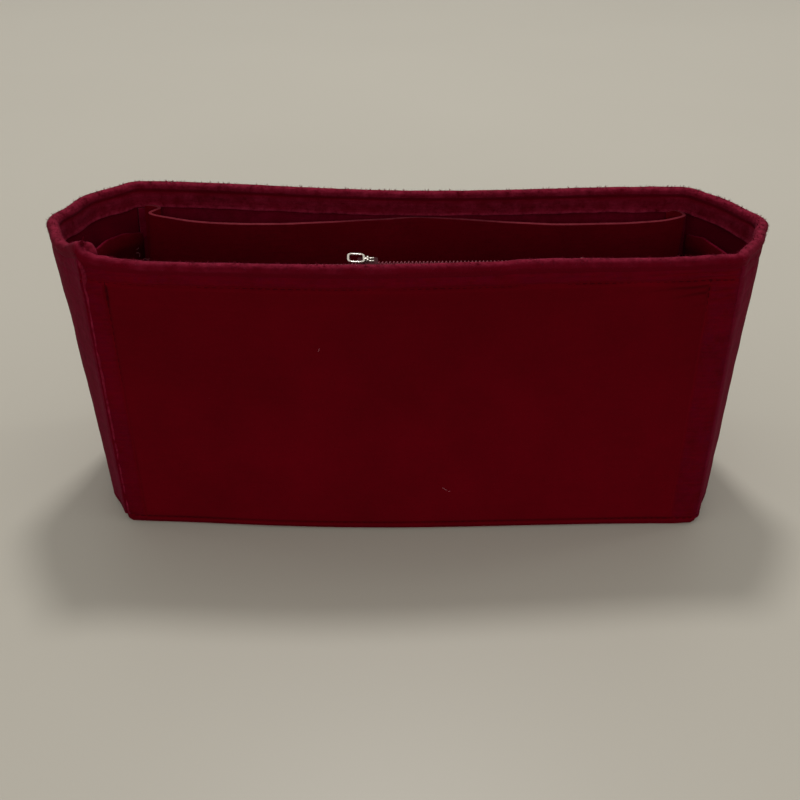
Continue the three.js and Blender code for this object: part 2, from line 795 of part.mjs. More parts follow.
// Pull tab: a small open frame on a pin, in the same axes, the pin at its origin
function tabGeometry() {
  const half = tabWidth / 2;
  const inner = half - tabRail;
  const frame = new THREE.Shape();
  frame.moveTo(tabHeel, -half);
  frame.lineTo(tabHeel, -inner);
  frame.lineTo(-tabLength + tabEnd + inner / 2, -inner);
  frame.quadraticCurveTo(-tabLength + tabEnd, -inner, -tabLength + tabEnd, -inner / 2);
  frame.lineTo(-tabLength + tabEnd, inner / 2);
  frame.quadraticCurveTo(-tabLength + tabEnd, inner, -tabLength + tabEnd + inner / 2, inner);
  frame.lineTo(tabHeel, inner);
  frame.lineTo(tabHeel, half);
  frame.lineTo(-tabLength + half * middleShare, half);
  frame.quadraticCurveTo(-tabLength, half, -tabLength, half * middleShare);
  frame.lineTo(-tabLength, -half * middleShare);
  frame.quadraticCurveTo(-tabLength, -half, -tabLength + half * middleShare, -half);
  const ring = thickened(frame, tabThickness);
  ring.translate(0, 0, -tabThickness / 2);
  const pin = new THREE.CylinderGeometry(pinDiameter / 2, pinDiameter / 2, 2 * half - tabRail, pinSideCount);
  return toGeometry(toSolid(ring).add(toSolid(pin)));
}

function buildSlider() {
  const slider = new THREE.Group();
  slider.position.copy(zipPoint((sliderRestShare - middleShare) * zipLength, 0, coilTop));
  slider.rotation.z = Math.atan2(zipDirection.y, zipDirection.x);
  root.add(slider);
  add('zip_slider', sliderGeometry(), metal, slider);
  const tab = add('zip_pull_tab', tabGeometry(), metal, slider);
  tab.position.z = pinHeight;
  tab.rotation.y = degToRad(tabRestAngle);
}

buildWalls();
buildBase();
buildBinding();
buildCornerTapes();
buildBackPocket();
buildEndPockets();
buildZipPocketPanel();
buildZipTapes();
buildCoils();
buildSlider();

// The origin is under the middle of the whole outline, on the floor
const reach = new THREE.Box2();
for (const height of [bottomRoll, rimHeight]) {
  const depth = height === rimHeight ? -bindingProud : 0;
  for (const s of stationsBetween(frontLeft, allRound)) {
    const p = shell(s, depth, height);
    reach.expandByPoint(new THREE.Vector2(p.x, p.y));
  }
}
const middle = reach.getCenter(new THREE.Vector2());
root.position.set(-middle.x, -middle.y, 0);

export default root;
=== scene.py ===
# %% [markdown]
# # A felt handbag organizer, dressed
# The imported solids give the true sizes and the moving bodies. This lesson lays the
# visible felt over them: every wall, pocket and strip is a flat grid of cloth that is
# bent to the same shell the solids were made from, then given its thickness. Sewing,
# the zip's turns of coil, the fibres of the nap and the small metal parts follow.
# Sizes are in millimetres while a piece is laid out, and become metres on the mesh.

# %% The frame
import math
import random

import bmesh
import bpy
from mathutils import Matrix, Vector, noise

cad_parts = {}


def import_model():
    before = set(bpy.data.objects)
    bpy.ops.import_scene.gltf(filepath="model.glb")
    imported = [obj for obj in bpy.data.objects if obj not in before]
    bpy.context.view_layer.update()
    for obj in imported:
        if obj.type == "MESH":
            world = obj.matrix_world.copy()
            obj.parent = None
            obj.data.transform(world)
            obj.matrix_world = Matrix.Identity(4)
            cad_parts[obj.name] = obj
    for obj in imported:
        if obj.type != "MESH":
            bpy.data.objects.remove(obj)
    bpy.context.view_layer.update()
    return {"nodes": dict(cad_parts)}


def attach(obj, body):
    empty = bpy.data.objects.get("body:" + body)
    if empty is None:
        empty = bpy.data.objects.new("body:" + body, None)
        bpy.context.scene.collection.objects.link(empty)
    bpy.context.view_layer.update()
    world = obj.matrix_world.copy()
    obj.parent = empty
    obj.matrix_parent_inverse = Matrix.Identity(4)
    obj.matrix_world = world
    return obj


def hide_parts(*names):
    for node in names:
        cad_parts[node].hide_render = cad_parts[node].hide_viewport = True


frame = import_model()
scene = bpy.context.scene

# %% [markdown]
# ## The shell
# All the felt follows one shell. A station runs round the plan: whole numbers are the
# middles of the six corners, front left first, and 2 and 5 are the folds of the ends.
# A depth runs inward from the outer surface, and a height up from the floor. The plan
# changes in straight lines from the base's six corners to the rim's.

# %% Sizes of the shell
rim_height = 127.6
rim_corners = [(-137.3, -53.3), (134.7, -47.3), (160.7, 2.7), (132.7, 42.7), (-135.3, 48.7), (-168.3, 2.7)]
base_corners = [(-131, -54), (129.8, -56.5), (147, 0), (131, 54), (-131, 54), (-151, 0)]
rim_radii = [7, 9, 16, 12, 12, 16]
base_radii = [7, 9, 30, 9, 9, 30]
rim_bows = [6.3, 1.6, 1.6, -5.9, 3.8, 1.6]
base_bows = [4.4, 2, 2, 0, 2, 2]
bow_peaks = [0.42, 0.5, 0.5, 0.5, 0.5, 0.5]
corner_dips = [0, 0, 1.5, 0, 0, 1.5]
run_sags = [1.0, 0, 0, 1.3, 0, 0]
back_belly = 3.2
middle = Vector((-3.690, -1.826))
FRONT_LEFT, FRONT_RIGHT, RIGHT_FOLD, BACK_RIGHT, BACK_LEFT, LEFT_FOLD, ROUND = range(7)

# %% Uneven places of the shell
front_wave = [(0, 5.0), (2.5, 3.4), (8, 1.5), (17, 0.1), (28, -0.65), (42, -0.6), (65, -0.1), (100, 0.2)]
front_wave += [(122, 0.35), (140, 0.5), (171, 0.35), (180, 0.95), (190, 0.8), (205, 0.3), (220, -0.3)]
front_wave += [(235, -0.65), (248, -0.5), (258, 0.2), (280, 0.4)]
left_peak, left_peak_reach = 7.3, 13.5
right_peak, right_peak_reach = 0.4, 20
left_tuck, left_hollow, right_tuck, tuck_reach = 2.2, 1.1, 1.4, 17
left_toe, right_toe, toe_share = 7.5, 4, 0.6
print("rim", rim_height, "mm high, plan centred on", tuple(round(v, 2) for v in middle))


# %% Small sums
def blend(a, b, share):
    return a + (b - a) * share


def clamp(x, low=0.0, high=1.0):
    return min(max(x, low), high)


def ease(x, low, high):
    """From 0 at low to 1 at high, slow at both ends."""
    t = clamp((x - low) / (high - low))
    return t * t * (3 - 2 * t)


def bell(x, centre, width):
    return math.exp(-(((x - centre) / width) ** 2))


def eased_line(points, x):
    """The value at x of a smooth line through (x, value) points."""
    for (a, low), (b, high) in zip(points, points[1:]):
        if x <= b:
            return blend(low, high, ease(x, a, b))
    return points[-1][1]


# %% One level of the plan
levels = {}


def level(height):
    share = round(height / rim_height, 6)
    if share in levels:
        return levels[share]
    corners = [Vector(b).lerp(Vector(r), share) for b, r in zip(base_corners, rim_corners)]
    belly = back_belly * max(math.sin(math.pi * share), 0) ** 1.5
    corners[BACK_RIGHT].x += belly
    corners[BACK_LEFT].x -= belly
    arcs = []
    for i, corner in enumerate(corners):
        back = (corners[i - 1] - corner).normalized()
        onward = (corners[(i + 1) % ROUND] - corner).normalized()
        half = math.acos(back.dot(onward)) / 2
        radius = blend(base_radii[i], rim_radii[i], share)
        cut = radius / math.tan(half)
        centre = corner + (back + onward).normalized() * (radius / math.sin(half))
        arcs.append((centre, radius, corner + back * cut, corner + onward * cut, math.pi - 2 * half))
    levels[share] = (arcs, share)
    return levels[share]


def run_of(height, i):
    """One run of the plan: half a corner's arc, a straight, and half the next corner's arc."""
    arcs, share = level(height)
    first, last = arcs[i], arcs[(i + 1) % ROUND]
    head, tail = first[1] * first[4] / 2, last[1] * last[4] / 2
    straight = (last[2] - first[3]).length
    return first, last, head, straight, tail, share


def turned(arc, angle):
    centre, radius, start = arc[:3]
    spoke = start - centre
    c, s = math.cos(angle), math.sin(angle)
    return centre + Vector((spoke.x * c - spoke.y * s, spoke.x * s + spoke.y * c))


runs = [sum(run_of(rim_height, i)[2:5]) for i in range(ROUND)]


def run_length(i):
    return runs[i % ROUND]


def after(corner, length):
    return corner + length / run_length(corner)


def before(corner, length):
    return corner - length / run_length(corner - 1)


print("rim runs:", [round(length, 1) for length in runs])


# %% A point of the shell
def outer(station, height):
    turn = station % ROUND
    i = int(turn) % ROUND
    first, last, head, straight, tail, share = run_of(height, i)
    way = (turn - int(turn)) * (head + straight + tail)
    if way < head:
        return turned(first, first[4] / 2 + way / first[1])
    if way > head + straight:
        return turned(last, (way - head - straight) / last[1])
    along = (way - head) / straight
    bow = blend(base_bows[i], rim_bows[i], share)
    skew = math.log(0.5) / math.log(bow_peaks[i])
    out = bow * math.sin(math.pi * along**skew) ** 2
    run = (last[2] - first[3]).normalized()
    return first[3].lerp(last[2], along) + Vector((run.y, -run.x)) * out


def inward(station, height):
    step = 1e-4
    run = (outer(station + step, height) - outer(station - step, height)).normalized()
    return Vector((-run.y, run.x))


def dip(station):
    """How far the rim sags below its corners."""
    turn = station % ROUND
    i = int(turn) % ROUND
    along = turn - int(turn)
    corner = blend(corner_dips[i], corner_dips[(i + 1) % ROUND], ease(along, 0, 1))
    return corner + run_sags[i] * math.sin(math.pi * along) ** 2


def uneven(station):
    """How far the rim stands above its even line: a wave along the front, a peak at the seamed corner."""
    turn = station % ROUND
    if turn > LEFT_FOLD:
        return left_peak * bell((ROUND - turn) * runs[LEFT_FOLD], 0, left_peak_reach)
    if turn >= FRONT_RIGHT:
        return right_peak * bell((turn - FRONT_RIGHT) * runs[FRONT_RIGHT], 0, right_peak_reach)
    return eased_line(front_wave, turn * runs[FRONT_LEFT])


def tuck_in(station, height):
    """How far a fold of the ends is pressed in: the left one also close below the rim."""
    turn, share = station % ROUND, clamp(height / rim_height)
    if turn > (RIGHT_FOLD + LEFT_FOLD) / 2:
        fold = LEFT_FOLD
        depth = left_tuck * share**8 + left_hollow * math.sin(math.pi * share**1.5)
    else:
        fold = RIGHT_FOLD
        depth = right_tuck - share**6
    away = (turn - fold) * runs[fold if turn > fold else fold - 1]
    return depth * bell(away, 0, tuck_reach)


def toe_lift(station, height):
    """The foot of the front corners is rounded off."""
    turn = station % ROUND
    to_left = min(turn * runs[FRONT_LEFT], (ROUND - turn) * runs[LEFT_FOLD])
    to_right = abs(turn - FRONT_RIGHT) * runs[FRONT_LEFT]
    for near, radius in ((to_left, left_toe), (to_right, right_toe)):
        if near < radius and height < radius:
            rise = radius - math.sqrt(radius**2 - (radius - near) ** 2)
            return toe_share * rise * (1 - max(height, 0) / radius)
    return 0


spots = {}


def shell(station, depth, height):
    """The point at a station, a depth and a height, in millimetres, about the true middle."""
    key = (round(station, 6), round(height, 4))
    if key not in spots:
        rise = uneven(station) * min(height / rim_height, 1) ** 9
        rise += toe_lift(station, height)
        sag = dip(station) * (height / rim_height) ** 2
        towards = inward(station, height)
        point = outer(station, height) - middle + towards * tuck_in(station, height)
        spots[key] = (point, towards, height - sag + rise)
    point, towards, high = spots[key]
    plan = point + towards * depth
    return Vector((plan.x, plan.y, high))


corner_spot = shell(FRONT_LEFT, 0, rim_height)
print("front left corner of the rim:", tuple(round(v, 1) for v in corner_spot))

# %% [markdown]
# ## Writing finishes as sums
# A material is a small network of nodes. Here a thin class wraps a node's output, so
# that `grain * 0.4 + 0.6` adds the Math nodes by itself, and one method makes every
# other kind of node from its type, its settings and what goes into its sockets.


# %% A socket that does sums
class Wire:
    def __init__(self, finish, socket):
        self.finish, self.socket = finish, socket

    def sum(self, operation, a, b):
        return self.finish.node("ShaderNodeMath", {"operation": operation}, {0: a, 1: b})

    def __add__(self, other):
        return self.sum("ADD", self, other)

    def __sub__(self, other):
        return self.sum("SUBTRACT", self, other)

    def __mul__(self, other):
        return self.sum("MULTIPLY", self, other)

    def at_least(self, low):
        return self.sum("MAXIMUM", self, low)


class Finish:
    def __init__(self, name):
        self.material = bpy.data.materials.new(name)
        self.material.use_nodes = True
        self.tree = self.material.node_tree
        self.tree.nodes.clear()
        self.place = self.node("ShaderNodeTexCoord", out=3)

    def node(self, kind, settings=None, values=None, out=0):
        made = self.tree.nodes.new(kind)
        for name, value in (settings or {}).items():
            setattr(made, name, value)
        for name, value in (values or {}).items():
            if isinstance(value, Wire):
                self.tree.links.new(value.socket, made.inputs[name])
            else:
                made.inputs[name].default_value = value
        return Wire(self, made.outputs[out])

    def grain(self, scale, detail, rough=0.5, place=None):
        values = {"Vector": place or self.place, "Scale": scale, "Detail": detail, "Roughness": rough}
        return self.node("ShaderNodeTexNoise", None, values)

    def mix(self, share, a, b):
        settings = {"data_type": "RGBA", "clamp_factor": True}
        return self.node("ShaderNodeMix", settings, {0: share, 6: a, 7: b}, out=2)

    def bump(self, height, strength, distance):
        values = {"Height": height, "Strength": strength, "Distance": distance}
        return self.node("ShaderNodeBump", None, values)

    def close(self, **values):
        names = {k.replace("_", " "): v for k, v in values.items()}
        shader = self.node("ShaderNodeBsdfPrincipled", None, names)
        end = self.tree.nodes.new("ShaderNodeOutputMaterial")
        self.tree.links.new(shader.socket, end.inputs[0])
        return self.material


def tint(red, green, blue):
    """A colour as seen on a screen, 0 to 255, as the shader wants it."""
    screen = [v / 255 for v in (red, green, blue)]
    return (*((v / 12.92 if v < 0.0404 else ((v + 0.055) / 1.055) ** 2.4) for v in screen), 1.0)


def shade(colour, gain):
    """The same colour, darker or lighter."""
    return (*(min(v * gain, 1) for v in colour[:3]), 1.0)


# %% [markdown]
# ## Felt
# Felt is a mat of short fibres with no weave. Close up it shows three things: slow
# cloudy changes and streaks where it was pressed, a grain of fibres, and a pale bloom
# where the fibres stand up along edges and folds. An attribute called nap is written
# on each piece. From 0 to 1 it says how far the fibres are brushed up. Below 0 it is
# painted shade: how far the felt is darkened in stitch grooves, creases and deep places.
# A little of the shader's sheen adds the bloom seen at a low angle, and the grain goes
# into both the colour and the bump.


# %% Felt finishes
def felt(name, body, bloom, sheen=0.05, grain_depth=0.00025):
    f = Finish(name)
    nap = f.node("ShaderNodeAttribute", {"attribute_name": "nap"}, out=2)
    cloud, patch = f.grain(34.0, 3.0), f.grain(260.0, 3.0, 0.6)
    fibre, fine = f.grain(900.0, 4.0, 0.65), f.grain(2600.0, 2.0)
    lengthwise = f.node("ShaderNodeMapping", None, {"Vector": f.place, "Scale": (0.09, 0.09, 1.0)})
    streak = f.grain(900.0, 3.0, 0.6, lengthwise)
    # Nap below 0 is painted shade: it mixes the colour towards a dark copy of the body.
    brushed, pressed_and_painted_shade = nap.at_least(0.0), (nap * -1.0).at_least(0.0)
    blot = (patch - 0.5) * (brushed * 1.9 + 0.2) + (streak - 0.5) * (brushed * 1.3 + 0.15)
    ground = f.mix(cloud * 0.6 + blot + 0.2, shade(body, 0.62), shade(body, 1.3))
    fluff = (fibre - 0.5) * 1.1 + (patch - 0.5) * 1.7 + 0.5
    height = fibre * 0.5 + fine * 0.35 + (patch + streak) * (brushed * 1.6 + 0.4)
    return f.close(
        Base_Color=f.mix(pressed_and_painted_shade, f.mix(fluff * brushed * 0.95, ground, bloom), shade(body, 0.3)),
        Roughness=patch * 0.1 + 0.86,
        Sheen_Weight=sheen,
        Sheen_Roughness=0.45,
        Sheen_Tint=tint(230, 120, 165),
        Specular_IOR_Level=0.03,
        Normal=f.bump(height, 0.75, grain_depth),
    )


felt_outer = felt("felt outer", tint(95, 0, 13), tint(70, 1, 24), sheen=0.02)
felt_side = felt("felt side", tint(90, 0, 18), tint(98, 8, 38), sheen=0.04)
felt_inner = felt("felt inner", tint(88, 0, 20), tint(114, 16, 44), sheen=0.03)
felt_pocket = felt("felt pocket", tint(90, 0, 12), tint(100, 8, 28), sheen=0.02)
felt_rim = felt("felt rim", tint(88, 0, 16), tint(140, 36, 60), sheen=0.06, grain_depth=0.0004)
felt_cut = felt("felt cut edge", tint(104, 28, 38), tint(142, 62, 70), sheen=0.05)
print("felt finishes:", [m.name for m in bpy.data.materials if m.name.startswith("felt")])

# %% [markdown]
# ## Hardware finishes
# The zip's coil is nylon, a little shiny, and so is the paint of the slider's body. The
# zip's tape is a fine twill, drawn with two wave patterns at right angles. The pull and
# its cheeks are plated, so they are a metal with faint handling marks in its roughness.
# The boards are sewn in and never seen, but still get a finish.


# %% Nylon, tape, thread, plate and board
def nylon(name, colour, rough, shine=0.2):
    f = Finish(name)
    cloud = f.grain(420.0, 2.0)
    mottled = f.mix(cloud, colour, shade(colour, 1.5))
    return f.close(Base_Color=mottled, Roughness=cloud * 0.2 + rough, Specular_IOR_Level=shine)


def woven(name, colour):
    f = Finish(name)
    values = {"Vector": f.node("ShaderNodeMapping", None, {"Vector": f.place, "Rotation": (0.0, 0.0, 0.8)})}
    values["Scale"] = 420.0
    warp, weft = (f.node("ShaderNodeTexWave", {"bands_direction": way}, values, out=1) for way in "XY")
    weave = warp * 0.5 + weft * 0.5
    return f.close(
        Base_Color=f.mix(weave, shade(colour, 0.6), colour),
        Roughness=weave * -0.1 + 0.85,
        Specular_IOR_Level=0.08,
        Normal=f.bump(weave, 0.5, 0.0001),
    )


def plated(name, colour):
    f = Finish(name)
    rub = f.grain(520.0, 4.0, 0.65)
    return f.close(
        Base_Color=f.mix(rub, shade(colour, 0.8), colour),
        Metallic=1.0,
        Roughness=rub * 0.18 + 0.16,
        Normal=f.bump(rub, 0.15, 0.00004),
    )


coil_nylon = nylon("zip coil nylon", tint(108, 34, 50), 0.4)
thread_finish = felt("sewing thread", tint(66, 0, 12), tint(70, 4, 20), sheen=0.0)
pale_thread = nylon("loose fibre", tint(170, 104, 112), 0.8)
tape_finish = woven("zip tape twill", tint(78, 8, 24))
metal_finish = plated("plated zip metal", tint(226, 220, 214))
slider_paint = nylon("slider paint", tint(50, 4, 14), 0.55, 0.08)
board_finish = nylon("board", tint(52, 44, 42), 0.7)
print("hardware finishes ready")

# %% [markdown]
# ## Bending flat cloth to the shell
# Each felt piece begins as a flat grid, like the cut piece on a table. The grid's
# columns and rows are not evenly spaced: they crowd together where a stitch line
# presses a groove. A place function then says where each grid point goes, and how far
# its nap is brushed up. Solidify gives the thickness, with the cut edge in its own
# paler felt, and a small Bevel softens that edge.

# %% Columns and rows
closest = 0.12


def spread(start, end, step, fine=()):
    """Positions from start to end, a step apart, crowded round each fine line."""
    count = max(int(math.ceil(abs(end - start) / step)), 1)
    marks = [blend(start, end, k / count) for k in range(count + 1)]
    for line, reach, small in fine:
        marks = [m for m in marks if abs(m - line) > reach or m in (start, end)]
        near = int(reach / small)
        marks += [line + k * small for k in range(-near, near + 1) if start < line + k * small < end]
    marks = sorted(marks)
    kept = [marks[0]]
    for m in marks[1:-1]:
        if m - kept[-1] > closest and marks[-1] - m > closest:
            kept.append(m)
    return kept + [marks[-1]]


def ripple(x, y, size, seed, stretch=1.0):
    """Slow unevenness between -1 and 1, the same every run."""
    return noise.noise(Vector((x / size / stretch, y / size, seed)))


print("a row of marks with one fine line:", [round(m, 1) for m in spread(0, 10, 2.5, [(5, 1, 0.5)])])

# %% Cloth
cuts = {}


def cloth(name, columns, rows, place):
    """A grid of cloth whose point for each column and row is place's, in millimetres."""
    bm = bmesh.new()
    bmesh.ops.create_grid(bm, x_segments=len(columns) - 1, y_segments=len(rows) - 1, size=0.5)
    nap = bm.verts.layers.float.new("nap")
    for vert in bm.verts:
        column = round((vert.co.x + 0.5) * (len(columns) - 1))
        row = round((vert.co.y + 0.5) * (len(rows) - 1))
        spot, vert[nap] = place(columns[column], rows[row])
        vert.co = spot / 1000
    for face in bm.faces:
        face.smooth = True
    area = sum(face.calc_area() for face in bm.faces)
    middle_row = [place(c, rows[len(rows) // 2])[0] for c in columns]
    width = sum((b - a).length for a, b in zip(middle_row, middle_row[1:])) / 1000
    cuts[name] = (width, area / width, area)
    return piece(name, bm)


def piece(name, bm):
    mesh = bpy.data.meshes.new(name)
    bm.to_mesh(mesh)
    bm.free()
    made = bpy.data.objects.new(name, mesh)
    scene.collection.objects.link(made)
    return made


def thicken(made, thickness, side=-1, soften=0.25, segments=2, sharp=50):
    """Thickness in millimetres; side -1 keeps the grid as the face its normals point from."""
    solid = made.modifiers.new("thickness", "SOLIDIFY")
    solid.thickness, solid.offset = thickness / 1000, side
    solid.use_even_offset = False
    solid.material_offset_rim = 1
    edge = made.modifiers.new("soft edge", "BEVEL")
    edge.width, edge.segments, edge.limit_method = soften / 1000, segments, "ANGLE"
    edge.angle_limit = math.radians(sharp)
    return made


def dress(made, finishes, body, slot, *nodes):
    for finish in finishes:
        made.data.materials.append(finish)
    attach(made, body)
    if nodes:
        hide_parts(*nodes)
    return made


def felt_piece(name, columns, rows, place, thickness, finishes, slot, node=None, side=-1, soften=0.25):
    """One cut of felt; finishes are those of its faces and of its cut edge."""
    made = thicken(cloth(name, columns, rows, place), thickness, side, soften)
    dress(made, finishes, "tub", slot, *([node] if node else []))
    print(name, len(made.data.polygons), "faces")


# %% [markdown]
# ## The front and back walls
# A board sewn between two felts makes the smooth middle field. The stitching that
# holds it shows as a shallow groove: one line runs the whole length below the rim, one
# goes down near each end and one runs low along the base. Outside the grooves there is
# no board, so the felt is fluffier and a little wrinkled. At the corners the cut edges
# of two felts meet in a low ridge, which is plainest at the front left.

# %% Wall measures
wall_cloth, end_cloth, lining_cloth, pocket_cloth = 1.2, 1.4, 0.9, 1.5
wall_foot, wall_head = 2.15, rim_height - 2.6
lining_foot, lining_depth = 5.4, 4.3
leg_foot = rim_height - 4.4
top_row, bottom_row, board_row = rim_height - 10.1, 3.6, rim_height - 18.5
long_run, back_run = run_length(FRONT_LEFT), run_length(BACK_RIGHT)
left_groove, right_groove = 9.0, 12.6
lapel = 119
creases = [(6.2, 0.03, 50), (8.4, 0.055, 42), (10.9, 0.085, 46), (13.8, 0.12, 34), (17, 0.2, 20)]


def press(height):
    """How far the binding's leg presses the wall in."""
    return 0.6 * ease(height, leg_foot - 1.6, leg_foot + 0.6)


def crumple(x, z, seed):
    """Small wrinkles that lie along the rim."""
    return ripple(x, z, 5, seed, 5) * 0.6 + ripple(x, z, 2.2, seed + 9, 7) * 0.4


def fan(away, height):
    """Creases that spread from a corner of the rim, away millimetres from it."""
    depth = 0
    for drop, slope, reach in creases:
        line = rim_height - drop - slope * away - 0.25 * math.sin(away / 5 + drop)
        depth += 0.65 * bell(height, line, 0.55) * ease(reach - away, 0, reach * 0.7) * ease(away, 0, 4)
    return depth


print("front wall", round(long_run, 1), "mm, back wall", round(back_run, 1), "mm along the rim")


# %% A long wall
def long_wall(name, corner, marks, ridges, seed, finishes, node):
    """marks: how far each upright groove is from its end; ridges: how far each end's seam stands out."""
    length = run_length(corner)
    first, last = marks[0], length - marks[1]
    in_front = corner == FRONT_LEFT

    def pressed_and_painted_shade(along, height, below):
        """How far stitches and creases press the felt in, from 0 to 1, which also sets the painted shade in
        them.
        """
        short = 0.55 + 0.3 * ease(height, 70, 118) + 0.6 * bell(height, 113, 4.5)
        upright = bell(along, first, 0.8) * below * short
        upright += bell(along, last, 1.0) * below * short * 0.55
        top = bell(height, top_row, 0.9) * (0.85 + 0.4 * ripple(along, 0, 22, seed + 11))
        creased = fan(length - along, height) if in_front else 0
        return max(upright, top, 0.6 * bell(height, bottom_row, 0.7), creased)

    def place(along, height):
        station = after(corner, along)
        near = min(along, length - along)
        inside = ease(along, first - 1, first + 1.5) * ease(length - along, marks[1] - 1, marks[1] + 1.5)
        below = ease(top_row - height, -0.5, 2)
        field = inside * below
        pinch = pressed_and_painted_shade(along, height, below)
        upper = ease(height, 104, 120) * (1 - 0.75 * press(height))
        loose = (1 - field) * 0.26 + 0.07
        end = ease(near, 20, 2) * (1 - below * 0.55)
        sink = 0.75 * pinch - 0.22 * inside * ease(board_row - height, -1.2, 1.2)
        sink -= crumple(along, height, seed) * loose * (0.5 + upper)
        sink -= ripple(along, height, 45, seed + 3) * 0.35
        sink -= ripple(along + height * 0.7, height, 4.5, seed + 5, 2.2) * 0.38 * end
        ridge = ridges[0] if along < length / 2 else ridges[1]
        if in_front and along < 12:
            ridge += 0.9 * bell(height, lapel, 6)
            shift = 0.9 * bell(height, lapel, 3.5) - 0.5 * bell(height, lapel - 5, 2.5)
            shift += ripple(height, 0, 9, 33.0) * 0.35 - 0.5
            station = after(corner, along + shift * math.exp(-along / 4))
        sink -= ridge * bell(near, 0, 1.3) * (1 - 0.6 * press(height))
        nap = (1 - field) * (0.6 + 0.3 * ripple(along, height, 12, seed + 7))
        # Nap below 0 is painted shade: in the grooves and creases, and over the field, growing towards the
        # top.
        nap += 0.3 * bell(near, 0, 2.5) - 0.28 * ease(height, 5, 118) * field - 0.85 * min(pinch, 1)
        return shell(station, sink + press(height), height), clamp(nap, -1)

    upright_lines = [(first, 2.4, 0.4), (last, 2.4, 0.4), (0, 3, 0.5), (length, 3, 0.5)]
    level_lines = [(top_row, 2.2, 0.4), (bottom_row, 1.4, 0.35), (board_row, 5, 0.6), (leg_foot, 3.4, 0.4)]
    columns = spread(0.1, length - 0.1, 2.6, upright_lines)
    rows = spread(wall_foot, wall_head, 2.6, level_lines)
    felt_piece(name, columns, rows, place, wall_cloth, finishes, "felt_outer", node)


grooves = (left_groove, right_groove)
front_faces, back_faces = [felt_outer, felt_side], [felt_outer, felt_cut]
long_wall("front_panel_felt", FRONT_LEFT, grooves, (0.85, 0.2), 1.0, front_faces, "front_panel")
long_wall("back_panel_felt", BACK_RIGHT, grooves[::-1], (0.3, 0.3), 21.0, back_faces, "back_panel")

# %% [markdown]
# ## The folding ends
# Each end is one soft felt panel with no board, so it can fold outward down its
# middle and let the insert lie flat. Its face is brushed and pale along the fold, with
# long soft dents from handling. Where the left end meets the front wall, the two cut
# edges stand up in a ridge of their own, which wanders a little.


# %% The raised seam at the front left
def seam_place(column, height):
    wander = ripple(height, 0, 7, 37.0) * 0.45 + ripple(height, 0, 2.6, 38.0) * 0.15
    wander += 0.5 * bell(height, lapel, 3) - 0.5 * bell(height, lapel + 6, 3)
    top = ease(seam_top - height, -0.5, 2.5)
    size = (0.55 + 0.6 * ease(height, lapel - 7, lapel)) * top + 0.12 * ripple(height, 0, 4, 39.0)
    width = 0.7 + 0.5 * ease(height, lapel - 7, lapel + 1) * top
    angle = math.pi * column / 8
    along = 0.7 + wander - width * math.cos(angle)
    station = after(FRONT_LEFT, along) if along > 0 else before(ROUND, -along)
    # The ridge is dressed in the pale rim felt with its nap brushed up: pale cut edges, partly a painted
    # highlight along the ridge.
    nap = 0.75 + 0.3 * ripple(height, column, 3, 36.0)
    return shell(station, 0.4 - (size + 0.4) * math.sin(angle), height), nap


seam_top = rim_height - 2.6
rim_faces = [felt_rim, felt_cut]
seam_rows = spread(3.2, seam_top, 1.1)
felt_piece("front_left_seam_felt", range(9), seam_rows, seam_place, 0.4, rim_faces, "felt_outer", soften=0.1)


# %% An end wall
def end_wall(name, corner, seed, ridges, node):
    first = run_length(corner)
    length = first + run_length(corner + 1)

    def place(along, height):
        station = after(corner, along) if along < first else after(corner + 1, along - first)
        near = min(along, length - along)
        dents = ripple(along, height, 30, seed) * 0.55 + ripple(along, height, 9, seed + 4) * 0.22
        sink = -dents * ease(near, 0, 9)
        sink -= crumple(along, height, seed) * 0.22 * ease(height, 95, 122)
        sink += 0.3 * bell(height, top_row, 1.2) + 0.4 * bell(height, bottom_row, 0.7)
        sink -= ripple(along, height, 5, seed + 8) * 0.3 * ease(height, 96, 116) * ease(14 - near, 0, 8)
        ridge = ridges[0] if along < length / 2 else ridges[1]
        sink -= ridge * bell(near, 0, 1.1) * (1 - press(height))
        nap = 0.55 + 0.35 * ripple(along, height, 14, seed + 6) + 0.25 * bell(along, first, 4)
        return shell(station, sink + press(height), height), clamp(nap)

    level_lines = [(top_row, 2, 0.4), (leg_foot, 1.8, 0.4), (bottom_row, 1.4, 0.4)]
    columns, rows = spread(0.1, length - 0.1, 1.6), spread(wall_foot, wall_head, 2.4, level_lines)
    felt_piece(name, columns, rows, place, end_cloth, [felt_side, felt_side], "felt_outer", node)


end_wall("right_gusset_felt", FRONT_RIGHT, 41.0, (0.15, 0.2), "right_gusset")
end_wall("left_gusset_felt", BACK_LEFT, 61.0, (0.2, 0.35), "left_gusset")

# %% [markdown]
# ## The linings
# The inner felt is seen above the pockets, where it is brushed and cloudy. It is a
# plain layer over the board, laid the other way round, so its good face looks inward.


# %% Lining layers
def lining(name, corner, count, seed, node):
    """A lining over count runs of the plan; those of the ends lie deeper and get painted shade."""
    length = sum(run_length(corner + k) for k in range(count))
    # Painted shade for the end linings: their nap is lowered, down below 0.
    shadow = 0.5 if count > 1 else 0

    def place(along, height):
        way, start = length - along, corner
        while way > run_length(start) and start < corner + count - 1:
            way -= run_length(start)
            start += 1
        wave = ripple(along, height, 16, seed) * 0.12
        nap = 0.3 + 0.35 * ripple(along, height, 11, seed + 2) - shadow
        return shell(after(start, way), lining_depth + wave, height), clamp(nap, -1)

    columns, rows = spread(0.2, length - 0.2, 3.0), spread(lining_foot, wall_head, 5)
    felt_piece(name, columns, rows, place, lining_cloth, [felt_inner, felt_cut], "felt_lining", node)


lining("front_lining_felt", FRONT_LEFT, 1, 101.0, "front_lining")
lining("back_lining_felt", BACK_RIGHT, 1, 111.0, "back_lining")
lining("right_end_lining_felt", FRONT_RIGHT, 2, 121.0, "right_end_lining")
lining("left_end_lining_felt", BACK_LEFT, 2, 131.0, "left_end_lining")
